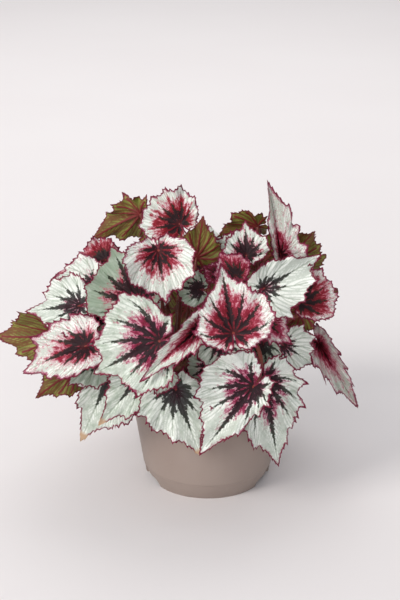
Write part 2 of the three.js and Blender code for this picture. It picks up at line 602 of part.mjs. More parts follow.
function addMesh(name, geometry, color, roughness) {
  const material = new THREE.MeshStandardMaterial({ color, roughness, metalness: 0 });
  const mesh = new THREE.Mesh(geometry, material);
  mesh.name = name;
  plant.add(mesh);
}

addMesh("pot", potGeometry(), 0x958379, 0.6);
addMesh("soil", soilGeometry(), 0x2b211b, 0.95);
CROWNS.forEach((_, index) => {
  addMesh(`crown_${index + 1}`, crownGeometry(index), 0x7a4038, 0.6);
});
LEAVES.forEach((leaf, index) => {
  const name = `leaf_${String(index + 1).padStart(2, "0")}`;
  addMesh(name, bladeGeometry(leaf, index), KINDS[leaf.kind], 0.5);
});

const middle = new THREE.Box3().setFromObject(plant).getCenter(new THREE.Vector3());
plant.position.set(-middle.x, -middle.y, 0);

export default plant;
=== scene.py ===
# A rex begonia in its plastic pot: silver leaves with dark branching veins and red centres, on
# reddish hairy stalks that grow from creeping stems on the potting soil. Sizes are in millimetres
# where a name or a comment says so, and are turned into metres when a mesh is made.
import math
import random

import bpy
import bmesh
import numpy as np
from mathutils import Matrix, Vector, geometry, noise


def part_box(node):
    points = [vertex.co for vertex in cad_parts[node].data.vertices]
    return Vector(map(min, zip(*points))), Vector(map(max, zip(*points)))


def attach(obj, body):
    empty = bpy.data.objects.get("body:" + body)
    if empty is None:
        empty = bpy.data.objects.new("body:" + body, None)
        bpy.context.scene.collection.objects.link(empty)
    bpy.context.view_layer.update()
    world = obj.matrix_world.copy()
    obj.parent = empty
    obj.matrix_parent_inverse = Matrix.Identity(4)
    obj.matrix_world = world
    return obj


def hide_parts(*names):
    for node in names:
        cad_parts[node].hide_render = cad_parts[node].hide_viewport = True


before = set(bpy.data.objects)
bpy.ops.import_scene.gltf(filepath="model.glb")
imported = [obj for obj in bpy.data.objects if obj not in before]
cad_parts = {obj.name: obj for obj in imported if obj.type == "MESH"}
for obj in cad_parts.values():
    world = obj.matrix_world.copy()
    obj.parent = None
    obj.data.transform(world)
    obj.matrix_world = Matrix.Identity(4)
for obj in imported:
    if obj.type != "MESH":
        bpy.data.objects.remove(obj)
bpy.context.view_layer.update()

# ---------------------------------------------------------------------------------------------
# POT. A nursery container, injection-moulded in taupe polypropylene with a fine matt grain. Its
# wall runs down into two side feet, and arches between them and the drawn-in foot let water drain.
# ---------------------------------------------------------------------------------------------
MM = 0.001
POT_HEIGHT = 131
RIM_RADIUS = 85
RIM_BAND = 8
WALL = 2
WALL_TAPER = math.tan(math.radians(9))
WALL_FOOT_RADIUS = 62
FOOT_RADIUS = 57.5
FOOT_BAND = 17
FLOOR_UNDERSIDE = 12
FLOOR_RADIUS = 58
ARCH_WIDTH = 35
ARCH_HEIGHT = 8.5
ARCH_ROUNDING = 6
ARCH_ANGLES = (343, 197, 45, 135)
SIDE_FOOT_WIDTH = 28
SIDE_FOOT_MIDDLE = 16
POT_SEGMENTS = 240
TAUPE = (152, 136, 127)

pot_low, pot_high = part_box("pot")
AXIS = np.array([(pot_low.x + pot_high.x) / 2, (pot_low.y + pot_high.y) / 2, 0])


def srgb(red, green, blue):
    """A colour in display values of 0 to 255, as the linear values that a shader takes."""
    shares = [value / 255 for value in (red, green, blue)]
    return tuple(s / 12.92 if s <= 0.04045 else ((s + 0.055) / 1.055) ** 2.4 for s in shares) + (1,)


class Wiring:
    """Adds nodes to a material or to a node group, and joins their sockets."""

    def __init__(self, tree):
        self.tree = tree

    def node(self, kind, **settings):
        made = self.tree.nodes.new(kind)
        for name, value in settings.items():
            setattr(made, name, value)
        return made

    def feed(self, socket, value):
        if isinstance(value, bpy.types.NodeSocket):
            self.tree.links.new(value, socket)
        else:
            socket.default_value = value

    def math(self, operation, a, b=0.0):
        made = self.node("ShaderNodeMath", operation=operation)
        self.feed(made.inputs[0], a)
        self.feed(made.inputs[1], b)
        return made.outputs[0]

    def times(self, a, b):
        return self.math("MULTIPLY", a, b)

    def plus(self, a, b):
        return self.math("ADD", a, b)

    def minus(self, a, b):
        return self.math("SUBTRACT", a, b)

    def centred(self, pattern, size):
        """A pattern that runs from 0 to 1, moved to run from -size / 2 to size / 2."""
        return self.times(self.minus(pattern, 0.5), size)

    def step(self, value, low, high):
        """0 below low and 1 above high, with a smooth change between them."""
        made = self.node("ShaderNodeMapRange", interpolation_type="SMOOTHSTEP")
        self.feed(made.inputs["Value"], value)
        self.feed(made.inputs["From Min"], low)
        self.feed(made.inputs["From Max"], high)
        return made.outputs["Result"]

    def mix(self, share, a, b):
        """Colour a, changing to b as the share goes from 0 to 1."""
        made = self.node("ShaderNodeMix", data_type="RGBA", clamp_factor=True)
        self.feed(made.inputs[0], share)
        self.feed(made.inputs[6], a)
        self.feed(made.inputs[7], b)
        return made.outputs[2]

    def lay(self, tone, colour, over, low, high, share=1):
        """The tone, with a share of the colour laid on where a pattern goes from low to high."""
        mask = self.step(over, low, high)
        if share != 1:
            mask = self.times(mask, share)
        return self.mix(mask, tone, colour)

    def noise(self, place, scale, detail=2.0, roughness=0.5):
        made = self.node("ShaderNodeTexNoise")
        self.feed(made.inputs["Vector"], place)
        made.inputs["Scale"].default_value = scale
        made.inputs["Detail"].default_value = detail
        made.inputs["Roughness"].default_value = roughness
        return made.outputs[0]

    def bump(self, height, strength, distance):
        made = self.node("ShaderNodeBump")
        made.inputs["Strength"].default_value = strength
        made.inputs["Distance"].default_value = distance
        self.feed(made.inputs["Height"], height)
        return made.outputs[0]

    def place(self):
        return self.node("ShaderNodeTexCoord").outputs["Object"]

    def mark(self, name, output="Fac"):
        """A value or a vector that the mesh carries at its points."""
        return self.node("ShaderNodeAttribute", attribute_name=name).outputs[output]

    def paint(self, surface, colour, roughness=None, normal=None):
        for socket, value in (("Base Color", colour), ("Roughness", roughness), ("Normal", normal)):
            if value is not None:
                self.feed(surface.inputs[socket], value)


def new_material(name, roughness, **settings):
    """A material with one Principled surface, and the wiring to add its pattern."""
    made = bpy.data.materials.new(name)
    made.use_nodes = True
    surface = made.node_tree.nodes["Principled BSDF"]
    surface.inputs["Roughness"].default_value = roughness
    for socket, value in settings.items():
        surface.inputs[socket.replace("_", " ")].default_value = value
    return made, Wiring(made.node_tree), surface


def as_mesh(name, form, shift=None):
    """The finished form as a mesh of that name, moved by shift."""
    if shift is not None:
        bmesh.ops.translate(form, verts=form.verts, vec=Vector(shift))
    mesh = bpy.data.meshes.new(name)
    form.to_mesh(mesh)
    form.free()
    return mesh


def new_object(name, data, materials=()):
    made = bpy.data.objects.new(name, data)
    bpy.context.scene.collection.objects.link(made)
    for material in materials:
        data.materials.append(material)
    return made


def settled(worker, name):
    """The worker object's mesh with its modifiers worked in, as a plain object of that name."""
    bpy.context.view_layer.update()
    evaluated = worker.evaluated_get(bpy.context.evaluated_depsgraph_get())
    mesh = bpy.data.meshes.new_from_object(evaluated, preserve_all_data_layers=True,
                                           depsgraph=bpy.context.evaluated_depsgraph_get())
    bpy.data.objects.remove(worker)
    mesh.name = name
    return new_object(name, mesh)


def round_turns(count):
    return [2 * math.pi * i / count for i in range(count)]


def ring(form, radius, height, count):
    """A ring of corners in the form, or the one corner on the axis, from millimetres."""
    return [form.verts.new((radius * MM * math.cos(t), radius * MM * math.sin(t), height * MM))
            for t in round_turns(count if radius else 1)]


def turned(name, profile):
    """A closed solid: (radius, height) points in millimetres, turned about the pot's axis."""
    shell = bmesh.new()
    rings = [ring(shell, radius, height, POT_SEGMENTS) for radius, height in profile]
    pairs = list(zip(rings, rings[1:])) + ([] if profile[0][0] == 0 else [(rings[-1], rings[0])])
    for low, high in pairs:
        for i in range(POT_SEGMENTS):
            corners = [low[i % len(low)], low[(i + 1) % len(low)],
                       high[(i + 1) % len(high)], high[i % len(high)]]
            face = list(dict.fromkeys(corners))
            if len(face) > 2:
                shell.faces.new(face)
    bmesh.ops.recalc_face_normals(shell, faces=shell.faces)
    return new_object(name, as_mesh(name, shell, AXIS))


def wall_radius(height):
    return WALL_FOOT_RADIUS + height * WALL_TAPER


def join_solids(target, tool, operation):
    step = target.modifiers.new("solid", "BOOLEAN")
    step.operation = operation
    step.solver = "EXACT"
    step.object = tool
    name = target.name
    target.name = name + "_before"
    made = settled(target, name)
    bpy.data.objects.remove(tool)
    return made


rim_low = POT_HEIGHT - RIM_BAND
container = turned("container", [
    (0, FLOOR_UNDERSIDE),
    (FOOT_RADIUS - WALL + 1, FLOOR_UNDERSIDE),
    (FOOT_RADIUS - WALL, 0.4),
    (FOOT_RADIUS - WALL + 0.5, 0),
    (FOOT_RADIUS - 0.7, 0),
    (FOOT_RADIUS - 0.1, 0.6),
    (wall_radius(FOOT_BAND) - 1.1, FOOT_BAND - 0.4),
    (wall_radius(FOOT_BAND) - 0.5, FOOT_BAND),
    (wall_radius(FOOT_BAND) - 0.1, FOOT_BAND + 0.5),
    (wall_radius(FOOT_BAND + 2), FOOT_BAND + 2),
    (wall_radius(60), 60),
    (wall_radius(rim_low - 1), rim_low - 1),
    (wall_radius(rim_low) + 0.3, rim_low + 0.2),
    (RIM_RADIUS - 1.2, rim_low + 0.9),
    (RIM_RADIUS - 0.6, rim_low + 1.7),
    (RIM_RADIUS - 0.1, POT_HEIGHT - 1.4),
    (RIM_RADIUS - 0.3, POT_HEIGHT - 0.5),
    (RIM_RADIUS - 1, POT_HEIGHT),
    (RIM_RADIUS - 2, POT_HEIGHT),
    (RIM_RADIUS - 2.8, POT_HEIGHT - 0.7),
    (wall_radius(rim_low) - WALL, rim_low),
    (wall_radius(FOOT_BAND + 3) - WALL, FOOT_BAND + 3),
    (FLOOR_RADIUS, FLOOR_UNDERSIDE + WALL),
    (0, FLOOR_UNDERSIDE + WALL),
])
skirt = turned("skirt", [
    (wall_radius(0) - 3, 0.3),
    (wall_radius(0) - 2.6, 0),
    (wall_radius(0) - 0.8, 0),
    (wall_radius(1) - 0.1, 1),
    (wall_radius(2), 2),
    (wall_radius(FOOT_BAND + 2) + 0.01, FOOT_BAND + 2),
    (wall_radius(FOOT_BAND + 2) - 1, FOOT_BAND + 2),
    (wall_radius(FLOOR_UNDERSIDE) - WALL, FLOOR_UNDERSIDE + 0.1),
    (wall_radius(0) - 3, FLOOR_UNDERSIDE + 0.1),
])


def block(name, low, high, turn=0.0, rounding=0.0):
    """A closed box between two corners in millimetres from the pot's axis, turned about it, with
    its upper long edges rounded."""
    made = bmesh.new()
    bmesh.ops.create_cube(made, size=1)
    low, high = Vector(low), Vector(high)
    for corner in made.verts:
        spread = Vector([corner.co[i] * (high[i] - low[i]) for i in range(3)])
        corner.co = (spread + (low + high) / 2) * MM
    if rounding:
        long_edges = [e for e in made.edges if all(v.co.z > 0 for v in e.verts)
                      and abs(e.verts[0].co.x - e.verts[1].co.x) > 1e-6]
        bmesh.ops.bevel(made, geom=long_edges, offset=rounding * MM, segments=6, profile=0.5,
                        affect="EDGES")
    place = Matrix.Translation(Vector(AXIS)) @ Matrix.Rotation(turn, 4, "Z")
    bmesh.ops.transform(made, matrix=place, verts=made.verts)
    return new_object(name, as_mesh(name, made))


side = SIDE_FOOT_WIDTH / 2
sides = block("sides", (-2 * RIM_RADIUS, SIDE_FOOT_MIDDLE - side, -1),
              (2 * RIM_RADIUS, SIDE_FOOT_MIDDLE + side, 30))
skirt = join_solids(skirt, sides, "INTERSECT")
container = join_solids(container, skirt, "UNION")
for angle in ARCH_ANGLES:
    arch = block("arch", (45, -ARCH_WIDTH / 2, -3), (75, ARCH_WIDTH / 2, ARCH_HEIGHT),
                 math.radians(angle), ARCH_ROUNDING)
    container = join_solids(container, arch, "DIFFERENCE")

plastic, w, surface = new_material("pot_plastic", 0.5, Specular_IOR_Level=0.4)
place = w.place()
cloud = w.noise(place, 14, 3)
grain = w.noise(place, 2600, 2, 0.6)
scuff = w.noise(place, 90, 5, 0.7)
tone = w.lay(srgb(*TAUPE), srgb(158, 143, 134), cloud, 0.35, 0.65)
tone = w.lay(tone, srgb(178, 166, 157), scuff, 0.6, 0.72, 0.18)
tone = w.lay(tone, srgb(120, 106, 98), grain, 0.5, 0.75, 0.12)
w.paint(surface, tone, w.plus(w.times(cloud, 0.16), 0.42), w.bump(grain, 0.35, 0.0001))

container.name = "container"
container.data.materials.clear()
container.data.materials.append(plastic)
container.data.shade_smooth()
container.data.set_sharp_from_angle(angle=math.radians(32))
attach(container, "root")
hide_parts("pot")

# ---------------------------------------------------------------------------------------------
# SOIL. Dark peat mix with bark crumbs and a few white grains of perlite, filled to a finger's
# breadth under the rim and slightly heaped where the stems lie on it.
# ---------------------------------------------------------------------------------------------
SOIL_LEVEL = 117
SOIL_MOUND = 3
SOIL_GAP = 0.6
SOIL_RADIUS = wall_radius(SOIL_LEVEL) - WALL - SOIL_GAP
SOIL_FLAT_RADIUS = 62
SOIL_SHOULDER = FOOT_BAND + 3.6
SOIL_BOTTOM = FLOOR_UNDERSIDE + WALL + 0.3
SOIL_RINGS = 60
SOIL_SPOKES = 200
SOIL_LUMPS = 1.1
CRUMBS_PER_SQUARE_METRE = 90000
CRUMB_SIZE = 2.2


def soil_height(radius, x, y):
    slope = min(1, max(0, (radius - SOIL_FLAT_RADIUS) / (SOIL_RADIUS - SOIL_FLAT_RADIUS)))
    lumps = noise.fractal(Vector((x / 9, y / 9, 0)), 0.8, 2.0, 5)
    return SOIL_LEVEL + SOIL_MOUND * (1 - slope) + SOIL_LUMPS * (lumps - 0.6)


def soil_mesh():
    bed = bmesh.new()
    centre = bed.verts.new((0, 0, soil_height(0, 0, 0) * MM))
    rings = []
    for i in range(1, SOIL_RINGS + 1):
        radius = SOIL_RADIUS * i / SOIL_RINGS
        row = []
        for turn in round_turns(SOIL_SPOKES):
            x, y = radius * math.cos(turn), radius * math.sin(turn)
            row.append(bed.verts.new((x * MM, y * MM, soil_height(radius, x, y) * MM)))
        rings.append(row)
    shoulder = wall_radius(SOIL_SHOULDER) - WALL - SOIL_GAP
    rings.append(ring(bed, shoulder, SOIL_SHOULDER, SOIL_SPOKES))
    rings.append(ring(bed, FLOOR_RADIUS - SOIL_GAP, SOIL_BOTTOM, SOIL_SPOKES))
    for i in range(SOIL_SPOKES):
        j = (i + 1) % SOIL_SPOKES
        bed.faces.new((centre, rings[0][i], rings[0][j]))
        for inner, far in zip(rings, rings[1:]):
            bed.faces.new((inner[i], far[i], far[j], inner[j]))
    bed.faces.new(list(reversed(rings[-1])))
    return as_mesh("soil_bed", bed, AXIS)


class Growing(Wiring):
    """A geometry node tree with named inputs that a modifier sets."""

    def __init__(self, name, **inputs):
        super().__init__(bpy.data.node_groups.new(name, "GeometryNodeTree"))
        self.inputs = {}
        sockets = self.tree.interface
        sockets.new_socket("Geometry", in_out="INPUT", socket_type="NodeSocketGeometry")
        sockets.new_socket("Geometry", in_out="OUTPUT", socket_type="NodeSocketGeometry")
        for label, kind in inputs.items():
            made = sockets.new_socket(label, in_out="INPUT", socket_type="NodeSocket" + kind)
            self.inputs[label] = made.identifier
        self.start = self.node("NodeGroupInput")
        self.end = self.node("NodeGroupOutput")

    def into(self, kind, links, **settings):
        """A node of that kind with its inputs fed by name or number."""
        made = self.node(kind, **settings)
        for key, value in links.items():
            self.feed(made.inputs[key], value)
        return made

    def close(self, grown):
        """Ends the tree: instances made real, in the material that the tree is given."""
        solid = self.into("GeometryNodeRealizeInstances", {0: grown})
        painted = self.into("GeometryNodeSetMaterial", {"Geometry": solid.outputs[0],
                                                        "Material": self.start.outputs["Material"]})
        self.feed(self.end.inputs[0], painted.outputs[0])

    def jitter(self, low, high):
        """A random vector for each spot."""
        return self.into("FunctionNodeRandomValue", {
            0: (low, low, low), 1: (high, high, high), "Seed": self.start.outputs["Seed"]},
            data_type="FLOAT_VECTOR").outputs[0]

    def spots(self, **limits):
        """Random spots on the faces, at the given density."""
        given = self.start.outputs
        return self.into("GeometryNodeDistributePointsOnFaces", {
            "Mesh": given[0], "Density": given["Density"], "Seed": given["Seed"], **limits},
            distribute_method="RANDOM").outputs

    def strew(self, spots, turns, smallest):
        """The given model on every spot, from the smallest share of the given size to all of it."""
        given = self.start.outputs
        model = self.into("GeometryNodeObjectInfo", {"Object": given["Model"]})
        sizes = self.into("FunctionNodeRandomValue", {2: smallest, 3: 1.0, "Seed": given["Seed"]},
                          data_type="FLOAT")
        laid = self.into("GeometryNodeInstanceOnPoints", {
            "Points": spots[0], "Instance": model.outputs["Geometry"], "Rotation": turns,
            "Scale": self.times(sizes.outputs[1], given["Size"])})
        self.close(laid.outputs[0])

    def use(self, target, **values):
        step = target.modifiers.new(self.tree.name, "NODES")
        step.node_group = self.tree
        for label, value in values.items():
            step[self.inputs[label]] = value
        return target


peat, w, surface = new_material("peat", 0.95, Specular_IOR_Level=0.2)
place = w.place()
clods = w.noise(place, 260, 5, 0.7)
fibres = w.noise(place, 1400, 3, 0.7)
tone = w.lay(srgb(30, 22, 18), srgb(66, 50, 40), clods, 0.4, 0.62)
tone = w.lay(tone, srgb(104, 82, 62), fibres, 0.6, 0.72, 0.5)
w.paint(surface, tone, w.plus(w.times(fibres, 0.2), 0.8),
        w.bump(w.plus(clods, fibres), 0.9, 0.0006))

perlite, w, surface = new_material("perlite", 0.9)
pits = w.noise(w.place(), 1500, 3, 0.6)
w.paint(surface, w.lay(srgb(214, 208, 198), srgb(170, 160, 146), pits, 0.4, 0.7),
        normal=w.bump(pits, 0.6, 0.0003))


def crumb(name, seed, material):
    """One lump, knocked out of round, with a few dozen faces."""
    lump = bmesh.new()
    bmesh.ops.create_icosphere(lump, subdivisions=1, radius=0.5)
    for corner in lump.verts:
        corner.co *= 1 + 0.55 * noise.noise(corner.co * 2.3 + Vector((seed, 0, 0)))
        corner.co.z *= 0.7
    return new_object(name, as_mesh(name, lump), [material])


STREWN = {"Model": "Object", "Density": "Float", "Size": "Float", "Material": "Material",
          "Seed": "Int"}
scatter = Growing("crumbs", **STREWN)
normal = scatter.node("GeometryNodeInputNormal").outputs[0]
facing = scatter.into("ShaderNodeSeparateXYZ", {0: normal})
upward = scatter.into("FunctionNodeCompare", {0: facing.outputs[2], 1: 0.5},
                      operation="GREATER_THAN")
scatter.strew(scatter.spots(Selection=upward.outputs[0]), scatter.jitter(0, 6.28), 0.35)

bed = new_object("soil_bed", soil_mesh(), [peat])
loose = []
for name, material, density, size, seed in (
        ("soil_crumbs", peat, CRUMBS_PER_SQUARE_METRE, CRUMB_SIZE, 4),
        ("perlite_grains", perlite, CRUMBS_PER_SQUARE_METRE / 24, CRUMB_SIZE * 0.9, 9)):
    lump_model = crumb(name + "_model", seed, material)
    worker = new_object(name + "_worker", bed.data.copy())
    scatter.use(worker, Model=lump_model, Density=float(density), Size=size * MM,
                Material=material, Seed=seed)
    loose.append(settled(worker, name))
    bpy.data.objects.remove(lump_model)
bed.data.shade_smooth()
for piece in [bed] + loose:
    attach(piece, "root")
    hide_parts("soil")

# ---------------------------------------------------------------------------------------------
# STEMS AND STALKS. Thick knobbly stems creep over the soil, and each leaf has its own fleshy
# reddish stalk from them, set with pale hairs and with papery scales round its foot.
# ---------------------------------------------------------------------------------------------
CROWN_WIDTH = 42
CROWN_HEIGHT = 16
CROWN_FLOOR = SOIL_LEVEL + SOIL_MOUND - 0.3
CROWNS = ((-38, -20), (10, -36), (42, 2), (10, 38), (-34, 28))
STALK_ROOT = 9
STALK_POINTS = 34
STALK_SIDES = 14
STALK_RADIUS = 1.2
BLADE_PER_RADIUS = 95
NECK_FROM = 0.93
NECK_SLOPE = 5.5
BLADE_UNDER = 1.0
HAIRS_PER_SQUARE_METRE = 90000
HAIR_LENGTH = 1.7
HAIR_WIDTH = 0.09
STREAK_SCALE = (900, 900, 160)
SCALE_SEED = 31
SCALE_LENGTHS = (8, 12)
SCALE_THICKNESS = 0.25
SCALE_ROWS = 6

